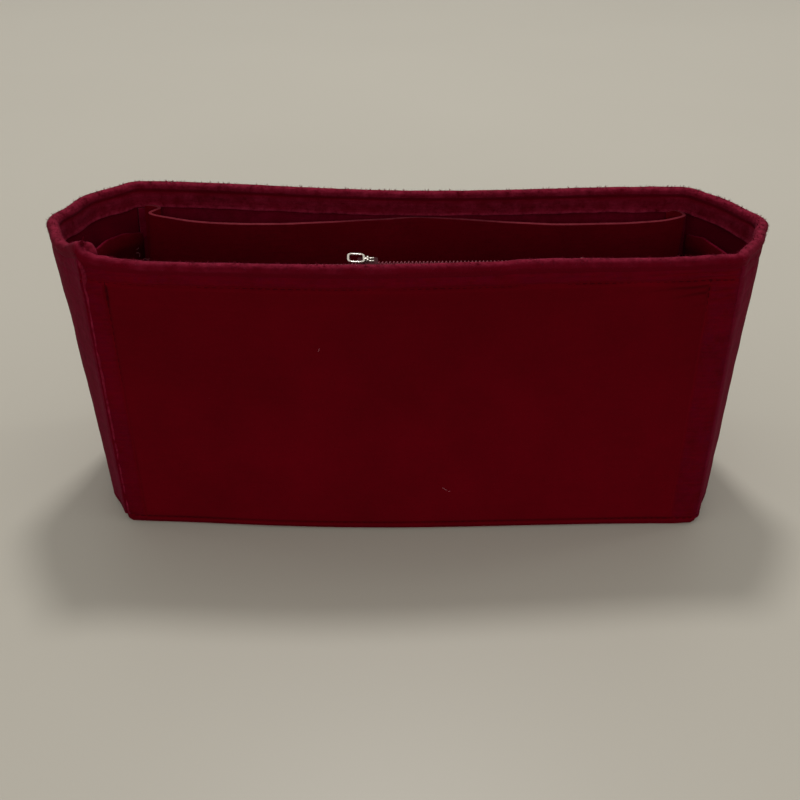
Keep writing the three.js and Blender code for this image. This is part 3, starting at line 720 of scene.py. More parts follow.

# %% [markdown]
# ## The base
# Three layers: the outer felt that the walls stand on, a board, and an inner felt. Each
# felt is one grid stretched between the front and the back of the outline, from the
# left fold to the right fold, with its edge rounded off by a bevel.


# %% Base layers
def base_sheet(name, depth, low, high, upward, finish, slot, node):
    def place(station, across):
        spot = shell(station, depth, low).lerp(shell(BACK_LEFT - station, depth, low), across)
        sag = abs(ripple(spot.x, spot.y, 40, depth) * 0.12)
        spot.z = high - sag if upward else low + sag * ease(min(across, 1 - across), 0, 0.1)
        return spot, 0.35 + 0.3 * ripple(spot.x, spot.y, 18, depth + 1)

    stations = [-0.985 + 2.97 * k / 90 for k in range(91)]
    made = cloth(name, stations, [k / 24 for k in range(25)], place)
    thicken(made, high - low, -1 if upward else 1, min(high - low, 1.6) * 0.55, segments=3, sharp=60)
    dress(made, [finish, finish], "tub", slot, node)
    print(name, len(made.data.polygons), "faces")


base_sheet("base_panel_felt", 1.3, 0.0, 2.0, False, felt_outer, "felt_outer", "base_panel")
base_sheet("base_lining_felt", 2.4, 3.8, 5.0, True, felt_inner, "felt_lining", "base_lining")

# %% [markdown]
# ## The rim binding
# A strip of felt is folded over the top of all the layers and sewn through. Outside it
# is a narrow lip, inside it reaches 12 mm down as a facing with a raw edge. The fold is
# soft and round, so its section is a half circle here. Sewing pulls it into slight
# waves. The strip starts and ends at the front left corner, where the front end curls
# over inside.

# %% Binding section
strip = 0.9
lip, face_depth, crown = -0.35, 5.0, 2.5
fold_centre = (lip + face_depth) / 2
rim_loop = sum(runs)


def binding_section():
    """(depth, height below the rim, nap) from the outer edge, over the fold, to the inner edge."""
    # The nap here paints light and shade: a little below 0 under the outer lip and under the inner turn,
    # painted shade; highest over the outer side and crown of the fold, a pale brushed band that is partly a
    # painted highlight.
    rows = [(lip + 0.95, 5.4, -0.1), (lip + 0.6, 5.0, -0.1), (lip + 0.4, 4.4, -0.1), (lip + 0.34, 3.6, -0.1)]
    rows.append((lip + 0.12, 2.9, 0.05))
    for k in range(15):
        angle = math.pi * (1 - k / 14)
        side = math.cos(angle) * (face_depth - lip) / 2
        nap = 0.1 + 0.9 * ease(k, 1.5, 6) * (1 - 0.6 * ease(k, 9, 14))
        rows.append((fold_centre + side, crown - crown * math.sin(angle) ** 0.85, nap))
    inner = [(0.05, 3.1, 0.2), (-0.4, 3.9, -0.15), (-0.1, 4.8, 0.2), (-0.05, 6.5, 0.4), (-0.05, 8.5, 0.3)]
    inner += [(0.1, 10.4, 0.4), (0.35, 11.5, 1.0), (0.3, 12.0, 1.0)]
    return rows + [(face_depth + out, below, nap) for out, below, nap in inner]


section = binding_section()


def rim_station(along):
    corner = 0
    while along > run_length(corner) and corner < ROUND - 1:
        along -= run_length(corner)
        corner += 1
    return after(corner, along)


print("the strip is", round(rim_loop), "mm long, with", len(section), "rows in its section")


# %% The strip
def binding_place(along, row):
    depth, below, nap = section[row]
    swell = ripple(along, 0, 9, 71.0) * 0.32 + ripple(along, 0, 3.1, 73.0) * 0.16
    tuck = ripple(along, below, 5, 75.0, 1.5) * 0.22 * (below > 5)
    drop = below + (swell * 0.5 if below < crown else 0)
    drop += ripple(along, 1, 14, 77.0) * 0.5 if below > 11 else 0
    depth = fold_centre + (depth - fold_centre) * (1 + swell * 0.06) + tuck
    first, last = ease(6 - along, 0, 6), ease(along - rim_loop, -6, 0)
    depth += (last * 0.5 - first * 0.8) * (1 if depth < fold_centre else -1)
    station = rim_station(along) - first * 1.7 / long_run
    nap += 0.25 * ripple(along, below, 7, 79.0) * (nap > 0)
    return shell(station, depth, rim_height - max(drop, 0)), min(nap, 1)


section_rows = range(len(section))
strip_columns = spread(0.2, rim_loop - 0.2, 1.5)
strip_faces = [felt_rim, felt_rim]
strip_look = {"slot": "felt_binding", "node": "rim_binding", "soften": 0.3}
felt_piece("rim_binding_felt", strip_columns, section_rows, binding_place, strip, strip_faces, **strip_look)


# %% The curled end of the strip
def spline(points, steps):
    """A smooth line through the points, steps to each span."""
    smooth = []
    for i in range(len(points) - 1):
        p = [points[max(i - 1, 0)], points[i], points[i + 1], points[min(i + 2, len(points) - 1)]]
        for k in range(steps):
            t = k / steps
            line = p[1] * 2 + (p[2] - p[0]) * t + (p[0] * 2 - p[1] * 5 + p[2] * 4 - p[3]) * t**2
            smooth.append((line + (p[1] * 3 - p[0] - p[2] * 3 + p[3]) * t**3) * 0.5)
    return smooth + [points[-1]]


def curl_place(column, row):
    spot, run, size = curl_line[column]
    side = Vector((run.y, -run.x, 0)).normalized()
    angle = math.pi * (row - 3) / 8
    if row < 3 or row > 11:
        drop = (3 - row if row < 3 else row - 11) * 1.5
        out = Vector((math.copysign(1, 7 - row), -drop / curl_radius))
    else:
        out = Vector((math.cos(angle), math.sin(angle)))
    rough = 1 + 0.12 * ripple(column, row, 3, 35.0)
    return spot + (side * out.x + Vector((0, 0, 1)) * out.y) * curl_radius * size * rough, 0.85


curl_radius = 1.75
curl_path = [(-133.0, -46.8, 129.8), (-131.8, -45.6, 130.4), (-130.4, -44.9, 130.6), (-129.2, -44.6, 130.2)]
curl_path += [(-128.3, -44.4, 129.2), (-127.8, -44.2, 128.0)]
curl_points = spline([Vector(p) for p in curl_path], 4)
curl_end = len(curl_points) - 1
curl_line = []
for k, spot in enumerate(curl_points):
    run = curl_points[min(k + 1, curl_end)] - curl_points[max(k - 1, 0)]
    curl_line.append((spot, run, max(1 - (k / curl_end) ** 5, 0.12) ** 0.5))
curl_columns = range(curl_end, -1, -1)
felt_piece("binding_end_curl", curl_columns, range(15), curl_place, strip, strip_faces, "felt_binding")

# %% [markdown]
# ## Corner tapes
# Inside each corner a narrow felt strip covers the seam; at three corners its two cut edges are pale.


# %% Corner tapes
def corner_tape(name, corner, high_shift, low_shift, edge, node):
    """A strip that leans: its shifts along the wall differ above and below a height near the rim."""

    def place(along, height):
        along += blend(low_shift, high_shift, ease(height, rim_height - 29, rim_height - 26))
        station = corner + along / run_length(corner if along > 0 else corner - 1)
        return shell(station, 5.15 + 0.08 * ripple(along, height, 6, 83.0), height), 0.45

    rows = spread(5.5, rim_height - 12.6, 6, [(rim_height - 27.5, 3, 1)])
    columns = [3.9 - k * 0.65 for k in range(13)]
    felt_piece(name, columns, rows, place, 0.6, [felt_inner, edge], "felt_lining", node, soften=0.12)


corner_tape("corner_tape_front_left_felt", FRONT_LEFT, 0, 0, felt_cut, "corner_tape_front_left")
corner_tape("corner_tape_front_right_felt", FRONT_RIGHT, 0, 0, felt_cut, "corner_tape_front_right")
corner_tape("corner_tape_back_right_felt", BACK_RIGHT, 1.5, 1.5, felt_inner, "corner_tape_back_right")
corner_tape("corner_tape_back_left_felt", BACK_LEFT, -4.0, 2.4, felt_cut, "corner_tape_back_left")

# %% [markdown]
# ## The back pocket
# One wide piece of thinner, smoother felt. A seam down its middle makes two pockets,
# and a pleat folded at each end lets them open. The plan of the top edge is a line of
# points: from the corner along the wall, round the fold, back, round again, then out
# in a slow curve to the middle seam. Lower down the pleat is pressed flat. The line is
# rounded by a spline through its points, and the whole is made as a sheet of cloth.

# %% Plan of the back pocket
pocket_top = rim_height - 12.8
pocket_depth, pleat_end = 5.2, 14
line_steps = 5
foot = [(5.5, 0), (8.2, 0), (10.8, 0.1), (12.8, 0.8), (12.6, 1.3), (11, 1.8), (8.8, 2.2), (7, 2.6)]
foot += [(6.2, 3.2), (7.2, 3.9), (9.6, 4.3), (13, 4.3)]
left_rim = [(6.2, 0.2, 1.9), (8.4, 0.5, 2.0), (11.3, 0.8, 1.8), (13.3, 2.4, 1.7), (13.6, 3.7, 1.6)]
left_rim += [(12.2, 4.9, 1.4), (10.6, 6.9, 1.2), (10.2, 8.1, 1.0), (10.9, 9.1, 0.8), (13, 9.9, 0.5)]
left_rim += [(15.7, 10.5, 0.2), (19.5, 11.4, 0)]
right_rim = [(5.5, 0, 1.2), (8.2, 0, 1.2), (10.4, 0, 1.2), (9, -0.1, 1.6), (7.4, 0.1, 1.9), (5.4, 1.5, 1.8)]
right_rim += [(4, 3.2, 1.6), (3.4, 4.9, 1.4), (4, 5.9, 1.1), (6, 6.6, 0.7), (9.4, 7.9, 0.4), (13.5, 9.2, 0.2)]
left_gape = [(27, 1.5, 12.8, -0.6), (34, 0.8, 13.8, -0.8), (45, 0.3, 14.4, -0.9), (59, 0, 13.9, -0.9)]
left_gape += [(73, 0, 12.5, -0.8), (84, 0, 10.6, -0.7), (104, 0, 6.0, -0.5), (121, 0, 2.4, -0.3)]
left_gape += [(136.6, 0, 0, 0)]
right_gape = [(20, 2.2, 10.4, 0), (32, 1, 11.8, -0.2), (45, 0.3, 12.2, -0.2), (60, 0, 11.8, -0.2)]
right_gape += [(75, 0, 9.8, -0.2), (88, 0, 7.3, -0.2), (103, 0, 4.0, -0.1), (117, 0, 1.5, 0)]


def pocket_side(rim, gape, height):
    """(along, depth, lift) from a corner, round its pleat and out over the gape."""
    share = height / pocket_top
    near_top, line = share**8, []
    for (foot_along, foot_depth), (along, depth, lift) in zip(foot, rim):
        line.append((blend(foot_along, along, share**3), blend(foot_depth, depth, share), lift * near_top))
    return line + [(along, blend(low, high, share), lift * near_top) for along, low, high, lift in gape]


pocket_lines = {}


def pocket_line(height):
    """The pocket's line at one height, from the left corner to the right one."""
    if height not in pocket_lines:
        left = pocket_side(left_rim, left_gape, height)
        right = pocket_side(right_rim, right_gape, height)
        line = []
        for corner, step, rows in ((BACK_LEFT, -1, left), (BACK_RIGHT, 1, right[::-1])):
            anchor = corner + step * pleat_end / back_run
            start, towards = shell(anchor, pocket_depth, height), inward(anchor, height)
            way = Vector((-towards.y, towards.x)) * step
            for along, out, lift in rows:
                if along < pleat_end:
                    spot = start + ((pleat_end - along) * way + out * towards).to_3d()
                else:
                    spot = shell(corner + step * along / back_run, pocket_depth + out, height)
                line.append(spot + Vector((0, 0, lift)))
        pocket_lines[height] = spline(line, line_steps)
    return pocket_lines[height]


print("the pocket's line has", len(pocket_line(pocket_top)), "points")

# %% The back pocket
seam_column = (len(left_rim) + len(left_gape) - 1) * line_steps


def pocket_place(column, height):
    spot = pocket_line(height)[column].copy()
    away = column - seam_column
    spot.y += 0.35 * bell(away, 0, 1.2)
    spot.y += ripple(spot.x, height, 26, 91.0) * 0.5 * ease(abs(away), 2, 12)
    spot.z += ripple(spot.x, 0, 18, 93.0) * 0.25 * ease(height, 90, pocket_top)
    nap = 0.12 + 0.2 * ease(height, pocket_top - 3, pocket_top) + 0.3 * ripple(spot.x, height, 20, 95.0)
    return spot, clamp(nap)


columns, rows = range(len(pocket_line(pocket_top))), spread(5.5, pocket_top, 4.2, [(pocket_top - 2, 2, 0.7)])
pocket_faces = [felt_pocket, felt_cut]
pocket_look = {"slot": "felt_pocket", "node": "back_pocket", "side": 0, "soften": 0.3}
felt_piece("back_pocket_felt", columns, rows, pocket_place, pocket_cloth, pocket_faces, **pocket_look)

# %% [markdown]
# ## The end pockets
# Each end has a plain pocket of the same thinner felt. It follows the end's outline
# and gapes a little at the fold, most at its top edge.

# %% End pockets
end_pocket_top = rim_height - 20


def end_pocket(name, start, finish, lifts, node):
    def place(share, height):
        gape = 7.5 * math.sin(math.pi * share) * height / rim_height
        wave = ripple(share * 90, height, 14, 97.0) * 0.3
        spot = shell(blend(finish, start, share), pocket_depth + gape + wave, height)
        spot.z += eased_line(lifts, share) * (height / end_pocket_top) ** 4
        # Painted shade: below the top edge the nap falls under 0, so the pocket's felt darkens lower down.
        low = ease(end_pocket_top - 1 - height, 0, 8)
        nap = 0.6 - 1.4 * low + 0.25 * ripple(share * 90, height, 10, 99.0)
        return spot, clamp(nap, -1)

    columns, rows = spread(0, 1, 0.018), spread(5.5, end_pocket_top, 4.2)
    look = {"slot": "felt_pocket", "node": node, "side": 0, "soften": 0.5}
    felt_piece(name, columns, rows, place, pocket_cloth, [felt_pocket, felt_inner], **look)


right_lifts = [(0, -2.1), (0.06, -0.4), (0.12, 0.5), (0.2, 0.5), (0.32, 1.4), (1, 0.8)]
left_lifts = [(0, 0), (0.7, 0), (0.8, -1.3), (0.9, -1.5), (0.96, -3.0), (1, -5.0)]
right_ends = after(FRONT_RIGHT, 6), before(BACK_RIGHT, 6)
left_ends = before(BACK_LEFT, 1.2), before(ROUND, 6)
end_pocket("right_end_pocket_felt", *right_ends, right_lifts, "right_end_pocket")
end_pocket("left_end_pocket_felt", *left_ends, left_lifts, "left_end_pocket")

# %% [markdown]
# ## The zip's line
# The zip closes a pocket inside the front wall. Its line is straight, from near one
# corner to near the other, so places on it are given along it, across it towards the
# back, and up.

# %% Zip places
coil_top = rim_height - 5.4
coil_low = coil_top - 1.8
tape_top = coil_low - 0.3
tape_foot = tape_top - 9
zip_inset, zip_depth = 38, 10.9
zip_start = shell(after(FRONT_LEFT, zip_inset), zip_depth, coil_top)
zip_end = shell(before(FRONT_RIGHT, zip_inset), zip_depth, coil_top)
zip_length = (zip_end - zip_start).xy.length
zip_middle = (zip_start + zip_end) / 2
zip_run = Vector(((zip_end - zip_start).x, (zip_end - zip_start).y, 0)).normalized()
zip_across = Vector((-zip_run.y, zip_run.x, 0))
print("zip", round(zip_length, 1), "mm")


def zip_point(u, v, w):
    spot = zip_middle + zip_run * u + zip_across * v
    return Vector((spot.x, spot.y, w))


def along_zip(point):
    return (point - zip_middle).dot(zip_run)


# %% [markdown]
# ## The zip pocket's panel and the tapes
# The pocket's cavity side leaves the wall near each corner and stands off it, hanging
# from the rear tape. Each tape is one strip: level under the coil, then turned down and
# sewn, the front one to the facing and the rear one to the pocket.

# %% Zip pocket panel
panel_start, panel_finish = after(FRONT_LEFT, 12), before(FRONT_RIGHT, 14)


def panel_place(share, height):
    station = blend(panel_finish, panel_start, share)
    along, whole = (station - panel_start) * long_run, (panel_finish - panel_start) * long_run
    stand = ease(min(along, whole - along), 0, 15)
    wall = shell(station, 5.3, height)
    line = zip_point(along_zip(wall), 6.1, wall.z)
    spot = wall.lerp(line, stand * blend(0.3, 1, min(height / tape_foot, 1)))
    spot += zip_across * ripple(along, height, 24, 103.0) * 0.35 * stand * (1 - ease(height, 85, 108))
    return spot, 0.2 + 0.2 * ripple(along, height, 12, 105.0)


columns, rows = [k / 110 for k in range(111)], spread(5.5, rim_height - 12.4, 4)
panel_look = {"slot": "felt_pocket", "node": "zip_pocket_panel", "side": 0}
felt_piece("zip_pocket_felt", columns, rows, panel_place, 1.2, pocket_faces, **panel_look)

# %% Zip tapes
rear_section = [(0.5, 0), (2.6, 0), (4.3, 0), (4.8, 0.15)] + [(4.95, 0.6 + 2.1 * k) for k in range(5)]


def rear_tape_place(u, row):
    v, drop = rear_section[row]
    return zip_point(u, v, tape_top - drop - 0.25), 0.3


def front_tape_place(u, row):
    low, high = FRONT_LEFT, FRONT_RIGHT
    for _ in range(18):
        half = (low + high) / 2
        low, high = (half, high) if along_zip(shell(half, 5.95, tape_top)) < u else (low, half)
    wall = shell(low, 6.15, tape_top)
    if row > 3:
        return Vector((wall.x, wall.y, tape_top - 0.4 - (row - 4) * 1.8)), 0.3
    edge = zip_point(along_zip(wall), -0.5, tape_top - 0.25)
    return edge.lerp(Vector((wall.x, wall.y, tape_top - 0.25)), (0, 0.35, 0.7, 0.97)[row]), 0.3


tape_run = spread(-zip_length / 2 - 5, zip_length / 2 + 5, 3.0)[::-1]
twill = [tape_finish, tape_finish]
rear_look = {"slot": "zip_tape", "node": "zip_tape_rear", "side": 0, "soften": 0.08}
front_look = {**rear_look, "node": "zip_tape_front"}
felt_piece("zip_tape_rear_twill", tape_run, range(8, -1, -1), rear_tape_place, 0.5, twill, **rear_look)
felt_piece("zip_tape_front_twill", tape_run, range(7), front_tape_place, 0.5, twill, **front_look)

# %% [markdown]
# ## The coil
# Each half of the chain is one nylon thread wound into flattened turns, 1.57 mm apart,
# and sewn to its tape. The heads of the two halves lie between each other. Behind the
# slider, towards the left, the chain lies a millimetre lower. A curve with a round
# bevel draws the thread, which is the plainest way to make a long winding.


# %% Turns of coil
def thread_piece(name, lines, radius, finish, slot, roundness, *nodes):
    """Threads through lines of points: one curve with a spline for each."""
    curve = bpy.data.curves.new(name, "CURVE")
    curve.dimensions = "3D"
    curve.bevel_depth, curve.bevel_resolution = radius / 1000, roundness
    curve.use_fill_caps = True
    for line in lines:
        track = curve.splines.new("POLY")
        track.points.add(len(line) - 1)
        for point, spot in zip(track.points, line):
            point.co = (*(spot / 1000), 1)
        track.use_smooth = True
    made = bpy.data.objects.new(name, curve)
    scene.collection.objects.link(made)
    dress(made, [finish], "tub", slot, *nodes)
    print(name, len(lines), "threads")


def coil(name, side, node):
    pitch, steps = 1.57, 12
    turns = int(zip_length / pitch)
    start = 0.25 if side > 0 else 0.75
    points = []
    for k in range(turns * steps + 1):
        angle = 2 * math.pi * k / steps
        u = -zip_length / 2 + pitch * (k / steps + start) * (zip_length / pitch - 1) / turns
        across = side * 1.2 - side * 1.35 * math.cos(angle)
        high = 0.6 * (1 + 0.18 * math.cos(angle)) * math.sin(angle)
        behind = ease(-0.1 * zip_length - u, 3, 9)
        points.append(zip_point(u, across, (coil_top + coil_low) / 2 + high + blend(0.15, -0.85, behind)))
    thread_piece(name, [points], 0.3, coil_nylon, "zip_coil", 2, node)


coil("zip_coil_front_turns", -1, "zip_coil_front")
coil("zip_coil_rear_turns", 1, "zip_coil_rear")

# %% [markdown]
# ## The slider and its pull
# The slider is a small casting: a plate over the coil with turned-down edges, a plate
# under the tape, a wedge between them at the front, and two cheeks on top. The pull is a
# flat open frame whose tongue turns on a pin between the cheeks. All of it is made at
# the origin, x along the zip, and then moved to its place in the mesh.

# %% Slider place and helpers
slider_share = 0.4
plate, plate_gap = 0.9, 0.3
pin_height = plate_gap + plate + 0.9
slider_spot = zip_point((slider_share - 0.5) * zip_length, 0, coil_top)
slider_turn = Matrix.Rotation(math.atan2(zip_run.y, zip_run.x), 4, "Z")
slider_place = Matrix.Translation(slider_spot / 1000) @ slider_turn @ Matrix.Scale(0.001, 4)
lying = Matrix.Rotation(math.pi / 2, 4, "X")


def bar(bm, size, centre, round_plan, round_edge):
    """A plate: the plan's corners rounded first, then every edge softened."""
    look = {"affect": "EDGES", "profile": 0.5, "material": -1}
    made = bmesh.ops.create_cube(bm, size=1)["verts"]
    for vert in made:
        vert.co = Vector([a * b for a, b in zip(vert.co, size)]) + Vector(centre)
    if round_plan:
        half = size[2] / 2
        upright = {e for v in made for e in v.link_edges if abs((e.verts[0].co - e.verts[1].co).z) > half}
        out = bmesh.ops.bevel(bm, geom=list(upright), offset=round_plan, segments=6, **look)
        made = list({v for f in out["faces"] for v in f.verts} | {v for v in made if v.is_valid})
    flat = {f for v in made for f in v.link_faces if abs(f.normal.z) > 0.9}
    rims = {e for f in flat for e in f.edges}
    bmesh.ops.bevel(bm, geom=list(rims), offset=round_edge, segments=3, **look)


def pin(bm, radius, length, spot):
    """A round bar across the zip."""
    shape = {"cap_ends": True, "segments": 20, "radius1": radius, "radius2": radius, "depth": length}
    bmesh.ops.create_cone(bm, matrix=Matrix.Translation(spot) @ lying, **shape)


def metal_piece(name, bm, place, body, finish, *nodes):
    bmesh.ops.recalc_face_normals(bm, faces=bm.faces)
    bmesh.ops.transform(bm, matrix=place, verts=bm.verts)
    for face in bm.faces:
        face.smooth = True
    made = piece(name, bm)
    lines = made.modifiers.new("flat faces", "WEIGHTED_NORMAL")
    lines.keep_sharp = True
    print(name, len(made.data.polygons), "faces")
    return dress(made, [finish], body, "zip_metal", *nodes)


# %% The slider
bm = bmesh.new()
flange_foot = tape_top + plate_gap - coil_top
sole_top = tape_top - 0.5 - plate_gap - coil_top
plate_top = plate_gap + plate / 2
bar(bm, (8.6, 8.2, plate), (0, 0, plate_top), 1.7, 0.28)
for side in (-1, 1):
    bar(bm, (8.0, 0.75, 1.1 - flange_foot), (0, side * 3.72, (1.1 + flange_foot) / 2), 0.3, 0.15)
bar(bm, (8.6, 8.2, plate), (0, 0, sole_top - plate / 2), 1.7, 0.28)
bar(bm, (2.4, 0.4, 1.0 - sole_top), (2.6, 0, (0.7 + sole_top) / 2), 0, 0.1)
metal_piece("zip_slider_body", bm, slider_place, "slider", slider_paint, "zip_slider")

# %% The cheeks that hold the pin
bm = bmesh.new()
for side in (-1.5, 1.5):
    bar(bm, (3.3, 0.8, pin_height - 1.0), (0.95, side, (pin_height + 0.7) / 2), 0, 0.15)
    pin(bm, 0.55, 0.8, (0, side, pin_height))
metal_piece("zip_slider_cheeks", bm, slider_place, "slider", metal_finish)

# %% The pull tab: a flat open frame, its tongue and its pin
tab_place = slider_place @ Matrix.Translation((0, 0, pin_height)) @ Matrix.Rotation(math.radians(3), 4, "Y")
tab_middle, tab_half, tab_wide, rail, squareness = -4.85, 3.25, 4.2, 0.95, 0.45


def tab_line(share):
    """Middle line of the frame's rail, a rectangle with round corners."""
    c, s = math.cos(2 * math.pi * share), math.sin(2 * math.pi * share)
    along = tab_middle + tab_half * math.copysign(abs(c) ** squareness, c)
    return Vector((along, tab_wide * math.copysign(abs(s) ** squareness, s)))


bm = bmesh.new()
bmesh.ops.create_grid(bm, x_segments=72, y_segments=4, size=0.5)
for vert in bm.verts:
    share = vert.co.x + 0.5
    run = (tab_line(share + 0.006) - tab_line(share - 0.006)).normalized()
    spot = tab_line(share) + Vector((-run.y, run.x)) * vert.co.y * rail
    vert.co = Vector((spot.x, spot.y, 0))
bmesh.ops.remove_doubles(bm, verts=bm.verts, dist=1e-4)
tab = metal_piece("zip_pull_frame", bm, tab_place, "pull_tab", metal_finish, "zip_pull_tab")
tab.modifiers.clear()
thicken(tab, rail, side=0, soften=0.3)
bm = bmesh.new()
bar(bm, (2.2, 1.5, 0.8), (-0.75, 0, 0), 0.3, 0.2)
pin(bm, 0.4, 2.1, (0, 0, 0))
metal_piece("zip_pull_tongue", bm, tab_place, "pull_tab", metal_finish)

# %% The stops and the boards keep their solids
kept = {"zip_stop_left": metal_finish, "zip_stop_right": metal_finish}
kept.update({name: board_finish for name in ("front_stiffener", "back_stiffener", "base_stiffener")})
for name, finish in kept.items():
    solid = frame["nodes"][name]
    solid.data.materials.clear()
    solid.data.materials.append(finish)
    if finish == metal_finish:
        soft = solid.modifiers.new("soft edges", "BEVEL")
        soft.width, soft.segments = 0.00018, 2
print("finished:", list(kept))

# %% [markdown]
# ## Sewing
# Each row of stitching is a run of short stitches lying in its groove. A stitch is a
# long bead of thread, 30 faces, tipped slightly so one end dives into the felt. All
# the rows are one mesh.


# %% One shape laid many times
def lay(whole, shape, place):
    """Adds a copy of a small mesh to a growing one."""
    copy = shape.copy()
    copy.transform(place)
    whole.from_mesh(copy)
    bpy.data.meshes.remove(copy)


def small_shape(name, make, **settings):
    bm = bmesh.new()
    make(bm, **settings)
    for face in bm.faces:
        face.smooth = True
    mesh = bpy.data.meshes.new(name)
    bm.to_mesh(mesh)
    bm.free()
    return mesh


bead = small_shape("bead", bmesh.ops.create_uvsphere, u_segments=6, v_segments=5, radius=1)
hair = small_shape("hair", bmesh.ops.create_cone, cap_ends=False, segments=3, radius1=1, radius2=0.2, depth=1)
print("bead", len(bead.polygons), "faces, hair", len(hair.polygons))

# %% Stitches
stitch_step, near = 3.1, 0.15
half_long, half_wide, half_thick = 1.2, 0.17, 0.14


def stitch(bm, station, depth, height, upright, chance):
    shift, rise = (0, near) if upright else (near / 150, 0)
    run = shell(station + shift, depth, height + rise) - shell(station - shift, depth, height - rise)
    run.normalize()
    towards = inward(station, height)
    side = run.cross(Vector((-towards.x, -towards.y, 0))).normalized()
    out = side.cross(run).normalized()
    turn = Matrix((run, side, out)).transposed().to_4x4()
    tip = Matrix.Rotation(0.07 + chance.uniform(-0.04, 0.04), 4, "Y")
    tip = tip @ Matrix.Rotation(chance.uniform(-0.05, 0.05), 4, "Z")
    size = Matrix.Diagonal((half_long * chance.uniform(0.9, 1.08), half_wide, half_thick, 1))
    spot = shell(station, depth, height) / 1000
    lay(bm, bead, Matrix.Translation(spot) @ Matrix.Scale(0.001, 4) @ turn @ tip @ size)


chance = random.Random(7)
bm = bmesh.new()
level_rows = [(1.2, 0.64, top_row), (1.8, 0.12, rim_height - 3.5)]
level_rows += [(1.4, face_depth - 0.55, rim_height - 4.0), (1.4, 0.22, bottom_row)]
for corner in range(ROUND):
    for along, depth, height in level_rows:
        while along < run_length(corner) - 1:
            stitch(bm, after(corner, along), depth, height, False, chance)
            along += stitch_step
upright_rows = [(FRONT_LEFT, left_groove), (FRONT_LEFT, long_run - right_groove)]
upright_rows += [(BACK_RIGHT, right_groove), (BACK_RIGHT, back_run - left_groove)]
for corner, mark in upright_rows:
    height = bottom_row + 2
    while height < top_row:
        stitch(bm, after(corner, mark), 0.5, height, True, chance)
        height += stitch_step
stitches = dress(piece("stitches", bm), [thread_finish], "tub", "felt_outer")
print("stitches", len(stitches.data.polygons), "faces")

# %% [markdown]
# ## Loose ends and nap
# The last stitches leave a small tuft at the front left corner. A few pale fibres have
# settled on the felt, and the folded rim carries a nap of very short fibres, drawn as
# three-sided hairs.


# %% Thread tuft and loose fibres
def curl(spot, direction, length, bend, chance, steps=10):
    line, here, way = [spot.copy()], spot.copy(), direction.normalized()
    for _ in range(steps):
        way = (way + Vector([chance.uniform(-bend, bend) for _ in range(3)])).normalized()
        here = here + way * length / steps
        line.append(here.copy())
    return line


chance = random.Random(19)
corner_top = Vector((-131.0, -48.0, 133.2))
tuft = []
for _ in range(9):
    out = Vector((chance.uniform(-0.5, 0.3), chance.uniform(-0.4, 0.4), 1))
    root = corner_top + Vector((chance.uniform(-0.7, 0.7), chance.uniform(-0.5, 0.5), 0))
    tuft.append(curl(root, out, chance.uniform(2, 4.2), 0.4, chance))
thread_piece("thread_tuft", tuft, 0.12, felt_rim, "felt_binding", 1)
fibres = []
settled = [(0.17, -0.2, 66, 3.0), (0.55, -0.2, 22, 2.4), (0.56, -0.2, 20, 3.4), (0.35, -0.15, 90, 1.5)]
for station, depth, height, length in settled:
    spot = shell(station, depth, height)
    fibres.append(curl(spot, Vector((1, 0, chance.uniform(-0.5, 0.8))), length, 0.25, chance))
for along, length in ((61, 5.0), (66, 5.5), (69, 4.0)):
    fibres.append(curl(zip_point(along, -1.5, coil_top + 0.4), Vector((1, 0.3, 0.15)), length, 0.3, chance))
for x, z, length in ((-129.6, 92.0, 5.5), (-128.0, 90.4, 4.5), (-130.4, 95.5, 3.5)):
    fibres.append(curl(Vector((x, 40.6, z)), Vector((0.5, -0.3, 0.8)), length, 0.35, chance))
thread_piece("loose_fibres", fibres, 0.07, pale_thread, "felt_binding", 1)


# %% Nap of the rim
def nap_hair(bm, spot, way, unruly, length, width, chance):
    """One hair: its way is bent at random, then its length is drawn."""
    way = (way + Vector([chance.uniform(-unruly, unruly) for _ in range(3)])).normalized()
    long = chance.uniform(*length)
    turn = Vector((0, 0, 1)).rotation_difference(way).to_matrix().to_4x4()
    size = Matrix.Diagonal((width, width, long, 1))
    lay(bm, hair, Matrix.Translation((spot + way * long / 2) / 1000) @ turn @ Matrix.Scale(0.001, 4) @ size)


def rim_spot(along, row):
    """A point of the strip's section, and the way out of the fold there."""
    low, station = int(row), rim_station(along)
    depth, below = (blend(section[low][k], section[low + 1][k], row - low) for k in (0, 1))
    spot = shell(station, depth, rim_height - below)
    return spot, (spot - shell(station, fold_centre, rim_height - crown)).normalized()


chance = random.Random(23)
bm = bmesh.new()
for _ in range(4200):
    root, out = rim_spot(chance.uniform(1, rim_loop - 1), chance.uniform(4, 19))
    nap_hair(bm, root, out, 0.9, (0.4, 1.1), 0.045, chance)
for _ in range(420):
    root, out = rim_spot(chance.uniform(1, rim_loop - 1), chance.randint(7, 16))
    for _ in range(5):
        nap_hair(bm, root, out, 1.1, (0.6, 1.3), 0.08, chance)
rim_nap = piece("rim_nap", bm)
brushed = rim_nap.data.attributes.new("nap", "FLOAT", "POINT")
brushed.data.foreach_set("value", [1.0] * len(rim_nap.data.vertices))
dress(rim_nap, [felt_rim], "tub", "felt_binding")
print("rim_nap", len(rim_nap.data.polygons), "faces")

# %% [markdown]
# ## The cloth lying flat
# Every cut of felt wider than 10 mm has the size it had lying flat printed.

